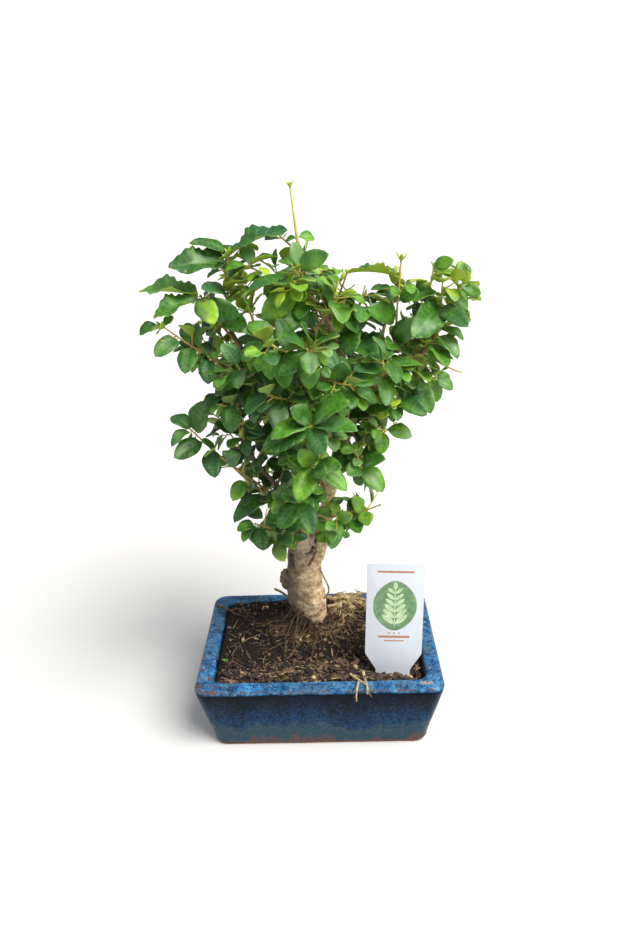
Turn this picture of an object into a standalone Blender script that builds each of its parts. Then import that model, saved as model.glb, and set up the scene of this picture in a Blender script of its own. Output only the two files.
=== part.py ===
"""Privet bonsai in a glazed rectangular pot, with its soil, surface roots, leafy twigs and a plant label.

Units are metres, +Z up. The origin is the middle of the pot's underside, on the surface it stands on.
The pot's long front faces -Y, so +X is the right-hand end as a person looks at it.
"""

import math
import random
from collections import namedtuple

import bmesh
import bpy
from mathutils import Matrix, Vector
from mathutils.bvhtree import BVHTree
from mathutils.geometry import interpolate_bezier

MM = 0.001
GAP = 0.35 * MM

# Pot
POT_LENGTH = 150 * MM
POT_DEPTH = 108 * MM
POT_HEIGHT = 47 * MM
POT_CORNER_RADIUS = 8 * MM
POT_FOOT_INSET = (9.5 * MM, 8.5 * MM)
LIP_WIDTH = 10 * MM
FLOOR = 6 * MM
DRAIN_RADIUS = 5 * MM
DRAIN_SPACING = 60 * MM
SCREEN_SIDE = 17 * MM
SCREEN_THICKNESS = 0.8 * MM

# Soil
SOIL_LEVEL = 43.6 * MM
MOUND_HEIGHT = 6 * MM
MOUND_SPREAD = 23 * MM
REAR_RISE = 4.2 * MM
TRUNK_HOLE_RADIUS = 9.2 * MM
TRUNK_HOLE_FLOOR = 37.5 * MM

# Label
LABEL_WIDTH = 34.6 * MM
LABEL_STEM_WIDTH = 21 * MM
LABEL_BODY = 57 * MM
LABEL_SHOULDER = 10 * MM
LABEL_STEM = 21 * MM
LABEL_THICKNESS = 0.9 * MM
LABEL_FOOT = Vector((45.2, -33, 46)) * MM
LABEL_LEAN = math.radians(12)
LABEL_ROLL = math.radians(2.6)

# Leaves
BLADE_THICKNESS = 0.72 * MM
BLADE_START = 0.12 * MM
RIBBED_LEAF = 22 * MM
WAVY_LEAF = 27 * MM
SHORT_LEAF = 10 * MM
SHORT_LEAF_SHARE = 0.7
LONG_LEAF_SHARE = 0.48
PLACING_TRIES = 14
TWIG_RADIUS = 0.85 * MM
TWIG_TIP_RADIUS = 0.62 * MM
SEED = 41

TRUNK_FOOT = Vector((-4, 18, 38)) * MM
COLLAR_LEVEL = 57 * MM

# The trunk as (place, radius), from its foot in the soil to the old pruning cut at its top.
TRUNK = [
    ((-4, 18, 38), 5.2),
    ((-4, 18, 46), 6.4),
    ((-4, 18, 54), 9.2),
    ((-5.5, 18, 60), 11.3),
    ((-7.5, 18, 67), 12.5),
    ((-9, 18, 76), 11.9),
    ((-8.5, 18, 86), 11.2),
    ((-8.3, 18, 96), 11.0),
    ((-8.2, 18, 106), 10.6),
    ((-8, 17, 113), 9.8),
    ((-7, 16, 117), 8.0),
]

# Each bough: the points it grows through, then its radius where it leaves the wood and at its end.
BOUGHS = {
    "leader": (
        [(-4, 20, 98), (2, 22, 111), (6, 24, 124), (10, 26, 141), (14, 26, 162), (17, 24, 180),
         (21, 22, 199), (20, 20, 215), (18, 15, 236), (11, 11, 252), (3, 8, 266), (-4, 7, 281),
         (-4, 6, 297)], 5.4, 1.0),
    "right": (
        [(17, 24, 180), (24, 16, 204), (34, 10, 213), (47, 5, 222), (62, 5, 232), (71, 8, 241),
         (74, 8, 256)], 2.1, 1.0),
    "right_middle": ([(14, 26, 162), (20, 14, 167), (31, 4, 184), (41, -4, 199)], 1.8, 1.0),
    "left_high": (
        [(10, 26, 141), (-2, 22, 170), (-16, 18, 202), (-28, 15, 221), (-39, 11, 239),
         (-46, 8, 254)], 2.3, 1.0),
    "left_low": (
        [(-10, 12, 108), (-16, 6, 138), (-23, 2, 156), (-31, 0, 168), (-39, 1, 182),
         (-42, 3, 197)], 2.3, 1.0),
    "centre": (
        [(-7, 12, 108), (-9, 5, 130), (-9, -2, 155), (-7, -8, 185), (-2, -11, 212), (3, -12, 240),
         (6, -11, 257)], 2.4, 1.0),
    "back_left": (
        [(8, 24, 132), (0, 34, 160), (-16, 44, 190), (-28, 50, 222), (-34, 50, 244)], 2.2, 1.0),
    "back_right": (
        [(10, 26, 141), (20, 38, 166), (34, 47, 196), (43, 49, 228), (47, 48, 246)], 2.2, 1.0),
    "back": ([(14, 26, 162), (12, 38, 192), (8, 44, 224), (4, 45, 252)], 1.9, 1.0),
}

# Each leafy twig: the bough it grows from, how far along that bough, where its tip is,
# its number of leaf pairs, and the length of its largest leaves.
TWIGS = {
    "left_crest": ("left_high", 0.97, (-42, 5, 292), 1, 18),
    "left_shoulder": ("left_high", 0.85, (-58, 0, 271), 1, 20),
    "left_far": ("left_high", 0.62, (-81, -10, 259), 2, 15),
    "left_inner": ("left_high", 0.5, (-56, -4, 238), 3, 15),
    "left_front": ("left_high", 0.58, (-38, -26, 238), 3, 20),
    "left_rear": ("left_high", 0.72, (-64, 30, 256), 2, 21),
    "arm_tip": ("left_low", 0.36, (-69, -9, 197), 1, 17),
    "arm_upper": ("left_low", 0.98, (-49, 4, 214), 1, 12),
    "arm_front": ("left_low", 0.8, (-43, -20, 217), 1, 18),
    "arm_rear": ("left_low", 0.55, (-56, 34, 184), 2, 20),
    "low_left_side": ("left_low", 0.3, (-48, -8, 174), 1, 17),
    "low_left_front": ("left_low", 0.14, (-35, -17, 140), 1, 17),
    "low_left_foot": ("left_low", 0.05, (-26, -7, 124), 1, 15),
    "low_left_rear": ("left_low", 0.25, (-38, 40, 152), 2, 19),
    "right_spire": ("right", 0.5, (51, 1, 286), 1, 16),
    "right_inner": ("right", 0.68, (70, 12, 281), 1, 13),
    "right_outer": ("right", 0.8, (87, 10, 273), 1, 15),
    "right_crest": ("right", 0.97, (74, 4, 274), 1, 18),
    "right_side": ("right", 0.74, (73, -2, 250), 1, 14),
    "right_low": ("right", 0.56, (71, -4, 222), 1, 18),
    "right_front": ("right", 0.4, (42, -28, 240), 3, 20),
    "right_rear": ("right", 0.58, (70, 38, 244), 2, 21),
    "middle_tip": ("right_middle", 0.97, (50, -9, 212), 1, 12),
    "middle_side": ("right_middle", 0.72, (42, -8, 194), 1, 16),
    "middle_low": ("right_middle", 0.5, (28, -12, 172), 1, 19),
    "middle_rear": ("right_middle", 0.4, (52, 30, 184), 2, 20),
    "low_right": ("leader", 0.12, (40, 0, 142), 1, 11),
    "low_right_leaf": ("leader", 0.09, (14, -6, 137), 1, 15),
    "rosette": ("centre", 0.66, (1, -44, 209), 1, 20),
    "rosette_low": ("centre", 0.5, (2, -40, 185), 1, 18),
    "front_low": ("centre", 0.3, (-8, -30, 160), 1, 19),
    "front_hanging": ("centre", 0.7, (-22, -34, 224), 2, 20),
    "front_left": ("centre", 0.85, (-22, -32, 252), 4, 20),
    "front_middle": ("centre", 0.9, (0, -44, 250), 3, 20),
    "front_right": ("centre", 0.8, (24, -36, 228), 3, 20),
    "centre_top": ("centre", 0.98, (16, -16, 272), 3, 20),
    "top_pale": ("leader", 0.86, (-4, -9, 285), 1, 18),
    "top_shoot": ("leader", 0.985, (-7, 6, 325), 1, 12),
    "top_left": ("leader", 0.88, (-32, 0, 286), 1, 17),
    "top_middle": ("leader", 0.8, (-6, -14, 279), 3, 18),
    "top_right": ("leader", 0.76, (22, 2, 280), 2, 18),
    "top_far_right": ("leader", 0.7, (32, -6, 272), 3, 19),
    "back_left_top": ("back_left", 0.97, (-42, 50, 270), 2, 21),
    "back_left_side": ("back_left", 0.72, (-62, 58, 226), 2, 21),
    "back_left_low": ("back_left", 0.42, (-30, 70, 196), 2, 20),
    "back_top": ("back", 0.97, (-2, 48, 284), 2, 21),
    "back_middle": ("back", 0.62, (10, 76, 236), 2, 21),
    "back_low": ("back", 0.3, (8, 66, 180), 2, 20),
    "back_right_top": ("back_right", 0.97, (54, 50, 272), 2, 21),
    "back_right_side": ("back_right", 0.75, (76, 52, 222), 2, 21),
    "back_right_low": ("back_right", 0.42, (44, 66, 186), 2, 20),
}

# The leaves that make the crown's outline and its two front rosettes, by twig: how far along
# the twig each one sits, where its tip is, and how much its upper face turns from the sky (0)
# towards a person in front (1).
SHOWN_LEAVES = {
    "left_crest": [
        (0.88, (-72, -8, 286), 0.5), (0.96, (-62, 2, 298), 0.2), (0.97, (-9, 4, 303), 0.3),
        (0.45, (-33, -4, 279), 0.2), (0.4, (-55, -10, 275), 0.6),
        (0.08, (-35, -14, 252), 0.8),
    ],
    "left_shoulder": [
        (0.96, (-92, 0, 273), 0.12), (0.9, (-81, -14, 261), 0.2), (0.98, (-50, -18, 258), 0.9),
        (0.8, (-38, -12, 266), 0.85),
    ],
    "left_far": [
        (0.98, (-90, -14, 253), 0.3), (0.94, (-73, -4, 261), 0.5), (0.8, (-82, -16, 241), 0.6),
        (0.7, (-69, 6, 255), 0.7), (0.68, (-70, -22, 237), 0.95), (0.52, (-66, -16, 232), 0.5),
    ],
    "left_inner": [(0.98, (-57, -14, 225), 0.6)],
    "arm_upper": [(0.9, (-53, 4, 223), 0.7), (0.85, (-62, -6, 207), 0.1), (0.6, (-43, 4, 222), 0.8)],
    "arm_tip": [
        (0.98, (-80, -4, 204), 0.3), (0.98, (-80, -16, 190), 0.2), (0.95, (-56, -16, 215), 0.6),
        (0.84, (-79, -18, 185), 0.6), (0.76, (-57, -22, 172), 0.95), (0.6, (-41, -20, 187), 0.8),
    ],
    "arm_front": [(0.98, (-44, -30, 202), 0.9)],
    "low_left_side": [(0.7, (-48, -14, 154), 0.7), (0.3, (-47, -16, 140), 0.3)],
    "low_left_front": [
        (0.98, (-46, -20, 140), 0.3), (0.95, (-43, -26, 132), 0.4), (0.9, (-32, -28, 128), 0.9),
    ],
    "low_left_foot": [(0.9, (-18, -16, 114), 0.9)],
    "top_left": [(0.97, (-15, -3, 290), 0.15), (0.96, (-43, -7, 284), 0.3)],
    "top_shoot": [(0.05, (-11, 8, 297), 0.5), (0.07, (5, 8, 297), 0.5)],
    "top_middle": [
        (0.97, (-30, -18, 276), 0.35), (0.96, (5, -20, 279), 0.2), (0.7, (-25, -16, 262), 0.8),
        (0.45, (-12, -20, 252), 0.85),
    ],
    "top_far_right": [(0.3, (22, -20, 240), 0.85), (0.12, (33, -20, 242), 0.8)],
    "top_pale": [(0.96, (12, -18, 294), 0.75)],
    "right_spire": [
        (0.86, (22, -4, 281), 0.0), (0.7, (34, -4, 272), 0.2), (0.68, (60, -6, 271), 0.75),
        (0.5, (32, -12, 264), 0.75), (0.3, (58, -10, 258), 0.75),
    ],
    "right_inner": [(0.97, (80, 8, 285), 0.7), (0.6, (60, 8, 274), 0.6), (0.66, (77, 14, 275), 0.1)],
    "right_outer": [(0.8, (74, 6, 277), 0.3), (0.84, (95, 4, 266), 0.75), (0.9, (84, 14, 279), 0.3)],
    "right_crest": [
        (0.6, (55, -2, 261), 0.2), (0.66, (94, 0, 261), 0.1), (0.2, (88, -10, 252), 0.7),
        (0.2, (54, -18, 250), 0.8), (0.5, (79, -10, 261), 0.4),
    ],
    "right_side": [(0.96, (84, -8, 243), 0.2), (0.7, (83, -12, 236), 0.3), (0.3, (70, -20, 232), 0.7)],
    "right_low": [(0.97, (79, -8, 215), 0.5), (0.8, (73, -10, 211), 0.7), (0.5, (65, -16, 203), 0.7)],
    "middle_tip": [(0.9, (65, -14, 206), 0.6), (0.7, (47, -18, 202), 0.9)],
    "middle_side": [(0.95, (57, -12, 190), 0.5), (0.8, (38, -14, 181), 0.8)],
    "middle_low": [(0.9, (44, -18, 181), 0.5), (0.9, (39, -20, 159), 0.4)],
    "low_right": [(0.64, (22, 0, 147), 0.6), (0.66, (31, -6, 131), 0.8), (0.4, (27, -8, 127), 0.6)],
    "low_right_leaf": [(0.9, (10, -18, 122), 0.9), (0.96, (22, -14, 144), 0.8)],
    "rosette": [
        (0.9, (21, -50, 224), 0.4), (0.94, (25, -54, 210), 0.35), (0.9, (-20, -56, 208), 0.35),
        (0.96, (-23, -52, 201), 0.6), (1.0, (8, -60, 200), 0.7), (0.86, (-10, -50, 221), 0.6),
    ],
    "rosette_low": [
        (0.9, (-8, -54, 171), 0.7), (0.96, (19, -50, 175), 0.4), (0.94, (-5, -48, 199), 0.7),
        (1.0, (11, -48, 193), 0.7), (0.97, (4, -54, 173), 0.6),
    ],
    "front_low": [(0.95, (-19, -42, 149), 0.65), (0.9, (0, -42, 146), 0.7)],
}

# The stretch of a twig that bears leaves; the top shoot is bare above its first third.
LEAFY_SPAN = (0.3, 0.93)
SHOOT_SPAN = (0.03, 0.3)
SHOWN_CURL = 0.22

# Old wounds on the trunk as (place, half sizes), and a thin aerial root that loops off its right side.
PRUNED_STUB = ((-7, 9.5, 106), (6.2, 4.6, 5.6))
SIDE_STUB = ((-21.3, 16, 82), (3.4, 3.4, 8))
AERIAL_ROOT = [(1, 15, 91), (4.6, 12, 84), (7, 11, 78), (6.4, 11, 73), (3, 14, 67)]
AERIAL_ROOT_RADIUS = 0.6 * MM

# Surface roots: compass direction in degrees and length, laid over the soil from the trunk's foot.
ROOTS = [
    (184, 40), (208, 30), (226, 36), (243, 42), (260, 32), (276, 44), (293, 36), (310, 46),
    (330, 38), (350, 42), (20, 32), (150, 28),
]
ROOT_COLLAR_RADIUS = 1.6 * MM
ROOT_RADIUS = 0.95 * MM
ROOT_TIP_RADIUS = 0.55 * MM
ROOT_STEPS = 4
ROOT_BEND_REACH = 13

# The crown's outline, as (x, z) where the sight lines of a person in front, whose eye is at EYE,
# cross the plane y = 0. Leaves that the tables don't place stay inside it.
EYE = Vector((9.8, -411.8, 339.5)) * MM
CROWN_EDGE = [
    (-4, 300), (4, 300), (11, 290), (22, 285), (23, 274), (30, 269), (42, 274), (47, 284), (50, 290),
    (54, 288), (51, 277), (65, 276), (68, 285), (78, 287), (94, 275), (95, 261), (89, 251), (85, 235),
    (78, 219), (71, 215), (69, 203), (50, 198), (42, 194), (42, 174), (30, 164), (42, 153), (39, 141),
    (29, 123), (13, 117), (4, 116), (-16, 112), (-33, 112), (-47, 123), (-49, 141), (-44, 166),
    (-48, 174), (-60, 163), (-69, 177), (-82, 180), (-77, 197), (-69, 204), (-56, 213), (-55, 223),
    (-69, 229), (-86, 238), (-84, 251), (-94, 251), (-84, 258), (-60, 257), (-55, 268), (-56, 276),
    (-52, 283), (-47, 296), (-37, 301), (-22, 306), (-11, 303),
]

Leaf = namedtuple("Leaf", "twig place frame length width fold curl wave")
Twig = namedtuple("Twig", "name route pairs leaf_length span")


def clear_scene():
    for obj in list(bpy.data.objects):
        bpy.data.objects.remove(obj, do_unlink=True)


def new_collection(name):
    collection = bpy.data.collections.new(name)
    bpy.context.scene.collection.children.link(collection)
    return collection


def material(name, colour, roughness):
    made = bpy.data.materials.new(name)
    made.use_nodes = True
    shader = made.node_tree.nodes["Principled BSDF"]
    shader.inputs["Base Color"].default_value = (*colour, 1)
    shader.inputs["Roughness"].default_value = roughness
    shader.inputs["Metallic"].default_value = 0
    return made


def add_object(name, mesh, collection, finish=None):
    obj = bpy.data.objects.new(name, mesh)
    collection.objects.link(obj)
    if finish is not None:
        mesh.materials.clear()
        mesh.materials.append(finish)
    return obj


def mesh_of(name, bm):
    bmesh.ops.recalc_face_normals(bm, faces=bm.faces)
    mesh = bpy.data.meshes.new(name)
    bm.to_mesh(mesh)
    bm.free()
    return mesh


def evaluated_mesh(obj):
    """The object's mesh with its modifiers applied, welded, in world space."""
    graph = bpy.context.evaluated_depsgraph_get()
    mesh = bpy.data.meshes.new_from_object(obj.evaluated_get(graph))
    mesh.transform(obj.matrix_world)
    bm = bmesh.new()
    bm.from_mesh(mesh)
    bmesh.ops.remove_doubles(bm, verts=bm.verts, dist=0.001 * MM)
    bm.to_mesh(mesh)
    bm.free()
    return mesh


def boolean(mesh, operation, cutters, solver="EXACT"):
    """The mesh joined with, cut by or kept inside the cutter meshes."""
    workshop = new_collection("workshop")
    body = add_object("body", mesh, workshop)
    others = new_collection("others")
    for cutter in cutters:
        add_object("cutter", cutter, others)
    step = body.modifiers.new("boolean", "BOOLEAN")
    step.operation = operation
    step.solver = solver
    step.operand_type = "COLLECTION"
    step.collection = others
    bpy.context.view_layer.update()
    made = evaluated_mesh(body)
    for obj in [body, *others.objects]:
        bpy.data.objects.remove(obj, do_unlink=True)
    bpy.data.collections.remove(workshop)
    bpy.data.collections.remove(others)
    return made


def tube(name, points, radii, sides):
    """A mesh tube through the points, capped, with a radius at each point."""
    curve = bpy.data.curves.new(name, "CURVE")
    curve.dimensions = "3D"
    curve.bevel_depth = 1
    curve.bevel_resolution = sides // 2 - 2
    curve.use_fill_caps = True
    spline = curve.splines.new("POLY")
    spline.points.add(len(points) - 1)
    for knot, point, radius in zip(spline.points, points, radii):
        knot.co = (*point, 1)
        knot.radius = radius
    workshop = new_collection("workshop")
    obj = add_object(name, curve, workshop)
    bpy.context.view_layer.update()
    mesh = evaluated_mesh(obj)
    bpy.data.objects.remove(obj, do_unlink=True)
    bpy.data.curves.remove(curve)
    bpy.data.collections.remove(workshop)
    return mesh


def box(size, place=(0, 0, 0), turn=None):
    bm = bmesh.new()
    bmesh.ops.create_cube(bm, size=1)
    bmesh.ops.scale(bm, vec=size, verts=bm.verts)
    if turn is not None:
        bmesh.ops.transform(bm, matrix=turn, verts=bm.verts)
    bmesh.ops.translate(bm, vec=place, verts=bm.verts)
    return mesh_of("box", bm)


def cylinder(radius, low, high, x, y, sides):
    bm = bmesh.new()
    bmesh.ops.create_cone(
        bm, cap_ends=True, segments=sides, radius1=radius, radius2=radius, depth=high - low
    )
    bmesh.ops.translate(bm, vec=(x, y, (low + high) / 2), verts=bm.verts)
    return mesh_of("cylinder", bm)


def along(points, share):
    """The point at a share of the way along a line of points."""
    lengths = [(b - a).length for a, b in zip(points, points[1:])]
    left = share * sum(lengths)
    for a, b, length in zip(points, points[1:], lengths):
        if left <= length:
            return a.lerp(b, left / length)
        left -= length
    return points[-1].copy()


def direction_along(points, share):
    return (along(points, min(1, share + 0.04)) - along(points, max(0, share - 0.04))).normalized()


# Pot, soil and what is buried in it


def rounded_loft(name, sections):
    """A solid of rounded rectangles, each given as (height, inset at the ends, inset at front and back)."""
    bm = bmesh.new()
    bmesh.ops.create_grid(bm, x_segments=1, y_segments=1, size=0.5)
    bmesh.ops.scale(bm, vec=(POT_LENGTH, POT_DEPTH, 1), verts=bm.verts)
    bmesh.ops.bevel(
        bm, geom=bm.verts[:], affect="VERTICES", offset=POT_CORNER_RADIUS, segments=4, profile=0.5,
        material=-1,
    )
    size = (POT_LENGTH, POT_DEPTH)
    height = 0
    face = bm.faces[:][0]
    for number, (level, *insets) in enumerate(sections):
        if number:
            grown = bmesh.ops.extrude_face_region(bm, geom=[face, *face.edges])["geom"]
            face = next(item for item in grown if isinstance(item, bmesh.types.BMFace))
        ring = face.verts[:]
        wanted = (POT_LENGTH - 2 * insets[0], POT_DEPTH - 2 * insets[1])
        bmesh.ops.scale(bm, vec=(wanted[0] / size[0], wanted[1] / size[1], 1), verts=ring)
        bmesh.ops.translate(bm, vec=(0, 0, level - height), verts=ring)
        size, height = wanted, level
    return mesh_of(name, bm)


def inner_sections(gap, top=None):
    """The inside of the pot, from the floor up, drawn in by a gap."""
    floor, middle, lip = 19 * MM, 17 * MM, LIP_WIDTH + 1 * MM
    sections = [
        (FLOOR + gap, floor + gap, floor + gap),
        (FLOOR + 2 * MM + gap, middle + gap, middle + gap),
        (POT_HEIGHT - 3 * MM, lip + gap, lip + gap),
    ]
    if top is not None:
        sections.append((top, lip + gap, lip + gap))
    return sections


def drain_places():
    return [(side * DRAIN_SPACING / 2, 0) for side in (-1, 1)]


def make_pot(collection, finish):
    end, front = POT_FOOT_INSET
    lip = LIP_WIDTH
    outside = [
        (0, end + 1.2 * MM, front + 1.2 * MM),
        (1.6 * MM, end, front),
        (POT_HEIGHT - 4 * MM, 0.2 * MM, 0.2 * MM),
        (POT_HEIGHT - 1.4 * MM, 0, 0),
        (POT_HEIGHT, 1.4 * MM, 1.4 * MM),
        (POT_HEIGHT, lip - 1.6 * MM, lip - 1.6 * MM),
        (POT_HEIGHT - 1.2 * MM, lip, lip),
    ]
    inside = list(reversed(inner_sections(0)))
    mesh = rounded_loft("pot", outside + inside)
    holes = [cylinder(DRAIN_RADIUS, -5 * MM, FLOOR + 5 * MM, x, y, 16) for x, y in drain_places()]
    return add_object("pot", boolean(mesh, "DIFFERENCE", holes), collection, finish)


def make_drain_screens(collection, finish):
    size = (SCREEN_SIDE, SCREEN_SIDE, SCREEN_THICKNESS)
    level = FLOOR + GAP + SCREEN_THICKNESS / 2
    for side, (x, y) in zip(("left", "right"), drain_places()):
        add_object("drain_screen_" + side, box(size, (x, y, level)), collection, finish)


def soil_height(x, y):
    """The soil's surface: a mound round the trunk's foot, lower at the right-hand end, with small lumps."""
    from_trunk = math.hypot(x - TRUNK_FOOT.x, y - TRUNK_FOOT.y)
    mound = MOUND_HEIGHT * math.exp(-((from_trunk / MOUND_SPREAD) ** 2) / 2)
    dip = 3 * MM / (1 + math.exp(-(x - 45 * MM) / (6 * MM)))
    rise = REAR_RISE * max(0, y / (POT_DEPTH / 2)) ** 1.5
    lumps = 0.55 * math.sin(x / (4.7 * MM) + 1.3) * math.sin(y / (4.1 * MM))
    grit = 0.35 * math.sin(x / (2.6 * MM) + y / (3.4 * MM))
    return SOIL_LEVEL + mound - dip + rise + (lumps + grit) * MM


def label_turn():
    return Matrix.Rotation(LABEL_ROLL, 4, "Y") @ Matrix.Rotation(math.pi / 2 - LABEL_LEAN, 4, "X")


def bark_chips():
    """Flakes of bark that stick out of the soil, thicker along the front."""
    rng = random.Random(SEED)
    chips = []
    for number in range(9):
        x = rng.uniform(-56, 26) * MM
        y = rng.uniform(-38, -22) * MM if number % 3 else rng.uniform(-10, 34) * MM
        if math.hypot(x - TRUNK_FOOT.x, y - TRUNK_FOOT.y) < 26 * MM:
            y = -30 * MM
        size = (rng.uniform(6, 10) * MM, rng.uniform(3, 4.5) * MM, rng.uniform(1.6, 2.2) * MM)
        turn = Matrix.Rotation(rng.uniform(0, math.pi), 4, "Z") @ Matrix.Rotation(
            rng.uniform(-0.35, 0.35), 4, "Y"
        )
        chips.append(box(size, (x, y, soil_height(x, y) + 0.2 * MM), turn))
    return chips


def make_soil(collection, finish):
    bm = bmesh.new()
    bmesh.ops.create_grid(bm, x_segments=16, y_segments=11, size=0.5)
    bmesh.ops.scale(bm, vec=(POT_LENGTH, POT_DEPTH, 1), verts=bm.verts)
    for vert in bm.verts:
        vert.co.z = soil_height(vert.co.x, vert.co.y)
    bmesh.ops.triangulate(bm, faces=bm.faces)
    grown = bmesh.ops.extrude_face_region(bm, geom=bm.faces[:])["geom"]
    for item in grown:
        if isinstance(item, bmesh.types.BMVert):
            item.co.z = -5 * MM
    mound = mesh_of("mound", bm)
    filling = rounded_loft("filling", inner_sections(GAP, POT_HEIGHT + 30 * MM))
    soil = boolean(mound, "INTERSECT", [filling])
    soil = boolean(soil, "UNION", bark_chips())
    trunk_hole = cylinder(
        TRUNK_HOLE_RADIUS, TRUNK_HOLE_FLOOR, POT_HEIGHT + 30 * MM, TRUNK_FOOT.x, TRUNK_FOOT.y, 16
    )
    slot = box(
        (LABEL_STEM_WIDTH + 3 * GAP, 2 * LABEL_STEM + 2 * GAP, LABEL_THICKNESS + 2 * GAP),
        LABEL_FOOT, label_turn(),
    )
    recesses = [
        box((SCREEN_SIDE + 2 * GAP, SCREEN_SIDE + 2 * GAP, 2 * SCREEN_THICKNESS + 3 * GAP), (x, y, FLOOR))
        for x, y in drain_places()
    ]
    soil = boolean(soil, "DIFFERENCE", [trunk_hole, slot, *recesses])
    return add_object("soil", soil, collection, finish)


def make_label(collection, finish):
    """A flat plastic stake: wide body, sloped shoulders, and a narrow stem with a blunt point."""
    half, stem = LABEL_WIDTH / 2, LABEL_STEM_WIDTH / 2
    shoulder = LABEL_SHOULDER
    side = [
        (stem * 0.35, -LABEL_STEM + 1 * MM),
        (stem, -LABEL_STEM * 0.5),
        (stem, 0),
        (half, shoulder),
        (half, shoulder + LABEL_BODY - 1 * MM),
        (half - 1 * MM, shoulder + LABEL_BODY),
    ]
    outline = side + [(-x, y) for x, y in reversed(side)]
    curve = bpy.data.curves.new("plant_label", "CURVE")
    curve.dimensions = "2D"
    curve.fill_mode = "BOTH"
    curve.extrude = LABEL_THICKNESS / 2
    spline = curve.splines.new("POLY")
    spline.points.add(len(outline) - 1)
    for knot, (x, y) in zip(spline.points, outline):
        knot.co = (x, y, 0, 1)
    spline.use_cyclic_u = True
    curve.materials.append(finish)
    label = add_object("plant_label", curve, collection)
    label.matrix_world = Matrix.Translation(LABEL_FOOT) @ label_turn()


# Wood


def bough_routes():
    return {
        name: [Vector(point) * MM for point in points] for name, (points, _, _) in BOUGHS.items()
    }


def trunk_mesh():
    """The trunk, with shallow lobes that wander round it as they climb."""
    places = [Vector(place) * MM for place, _ in TRUNK]
    mesh = tube("trunk", places, [radius * MM for _, radius in TRUNK], 14)
    for vert in mesh.vertices:
        if vert.co.z < COLLAR_LEVEL:
            continue
        axis = min(places, key=lambda place: abs(place.z - vert.co.z))
        outward = Vector((vert.co.x - axis.x, vert.co.y - axis.y, 0))
        angle = math.atan2(outward.y, outward.x)
        height = vert.co.z / (10 * MM)
        lobe = 0.055 * math.sin(3 * angle + 0.9 * height) + 0.035 * math.sin(5 * angle - 1.7 * height)
        vert.co += outward * lobe
    return mesh


def knob(place, size):
    """A low swelling on the wood, such as an old pruned stub."""
    bm = bmesh.new()
    bmesh.ops.create_uvsphere(bm, u_segments=8, v_segments=6, radius=1)
    bmesh.ops.scale(bm, vec=Vector(size) * MM, verts=bm.verts)
    bmesh.ops.translate(bm, vec=Vector(place) * MM, verts=bm.verts)
    return mesh_of("knob", bm)


class Ground:
    """The soil and the pot as seen from above, for whatever lies on them."""

    def __init__(self, *solids):
        graph = bpy.context.evaluated_depsgraph_get()
        self.trees = [BVHTree.FromObject(solid, graph) for solid in solids]

    def height(self, x, y):
        """The top of what is here, or nothing beyond the pot's edge."""
        above = Vector((x, y, 2 * POT_HEIGHT))
        hits = [tree.ray_cast(above, Vector((0, 0, -1)))[0] for tree in self.trees]
        return max((hit.z for hit in hits if hit), default=0)

    def lying(self, x, y, radius, lift=0.0):
        level = self.height(x, y) or POT_HEIGHT
        return Vector((x, y, level + radius + GAP + lift))

    def settle(self, points, radius):
        """Lifts the points until the whole strand clears what is below it."""
        for _ in range(4):
            for a, b in zip(points, points[1:]):
                side = (b - a).cross(Vector((0, 0, 1))).normalized() * radius * 1.2
                need = 0
                for share in (0, 0.25, 0.5, 0.75, 1):
                    for spot in (a.lerp(b, share) + side * off for off in (-1, 0, 1)):
                        need = max(need, self.height(spot.x, spot.y) + radius * 1.2 + GAP - spot.z)
                a.z += need
                b.z += need


def root_meshes(ground):
    """Roots that leave the trunk's foot on all sides and lie over the mound, each with its own wander."""
    rng = random.Random(SEED)
    strands = []
    for compass, length in ROOTS:
        angle = math.radians(compass)
        bend = rng.uniform(-0.35, 0.35)
        start = TRUNK_FOOT + Vector((math.cos(angle), math.sin(angle), 0)) * 6 * MM
        start.z = COLLAR_LEVEL
        points, radii = [start], [ROOT_COLLAR_RADIUS]
        for step in range(1, ROOT_STEPS + 1):
            share = step / ROOT_STEPS
            reach = (ROOT_BEND_REACH + (length - ROOT_BEND_REACH) * share) * MM
            turn = angle + bend * share + rng.uniform(-0.07, 0.07)
            radius = ROOT_RADIUS + (ROOT_TIP_RADIUS - ROOT_RADIUS) * share
            x = TRUNK_FOOT.x + reach * math.cos(turn)
            y = TRUNK_FOOT.y + reach * math.sin(turn)
            points.append(ground.lying(x, y, radius))
            radii.append(radius)
        ground.settle(points[1:], ROOT_RADIUS)
        strands.append(tube("root", points, radii, 4))
    return strands


def make_wood(collection, finish, ground):
    """Trunk, boughs and surface roots: one grown piece."""
    pieces = root_meshes(ground)
    for name, (_, thick, thin) in BOUGHS.items():
        points = bough_routes()[name]
        last = len(points) - 1
        radii = [(thick + (thin - thick) * (n / last) ** 0.7) * MM for n in range(last + 1)]
        pieces.append(tube(name, points, radii, 6 if thick > 4 else 4))
    pieces.append(knob(*SIDE_STUB))
    pieces.append(knob(*PRUNED_STUB))
    loop = [Vector(point) * MM for point in AERIAL_ROOT]
    pieces.append(tube("loop", loop, [AERIAL_ROOT_RADIUS] * len(loop), 4))
    wood = boolean(trunk_mesh(), "UNION", pieces)
    return add_object("trunk_boughs_and_roots", wood, collection, finish)


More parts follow.
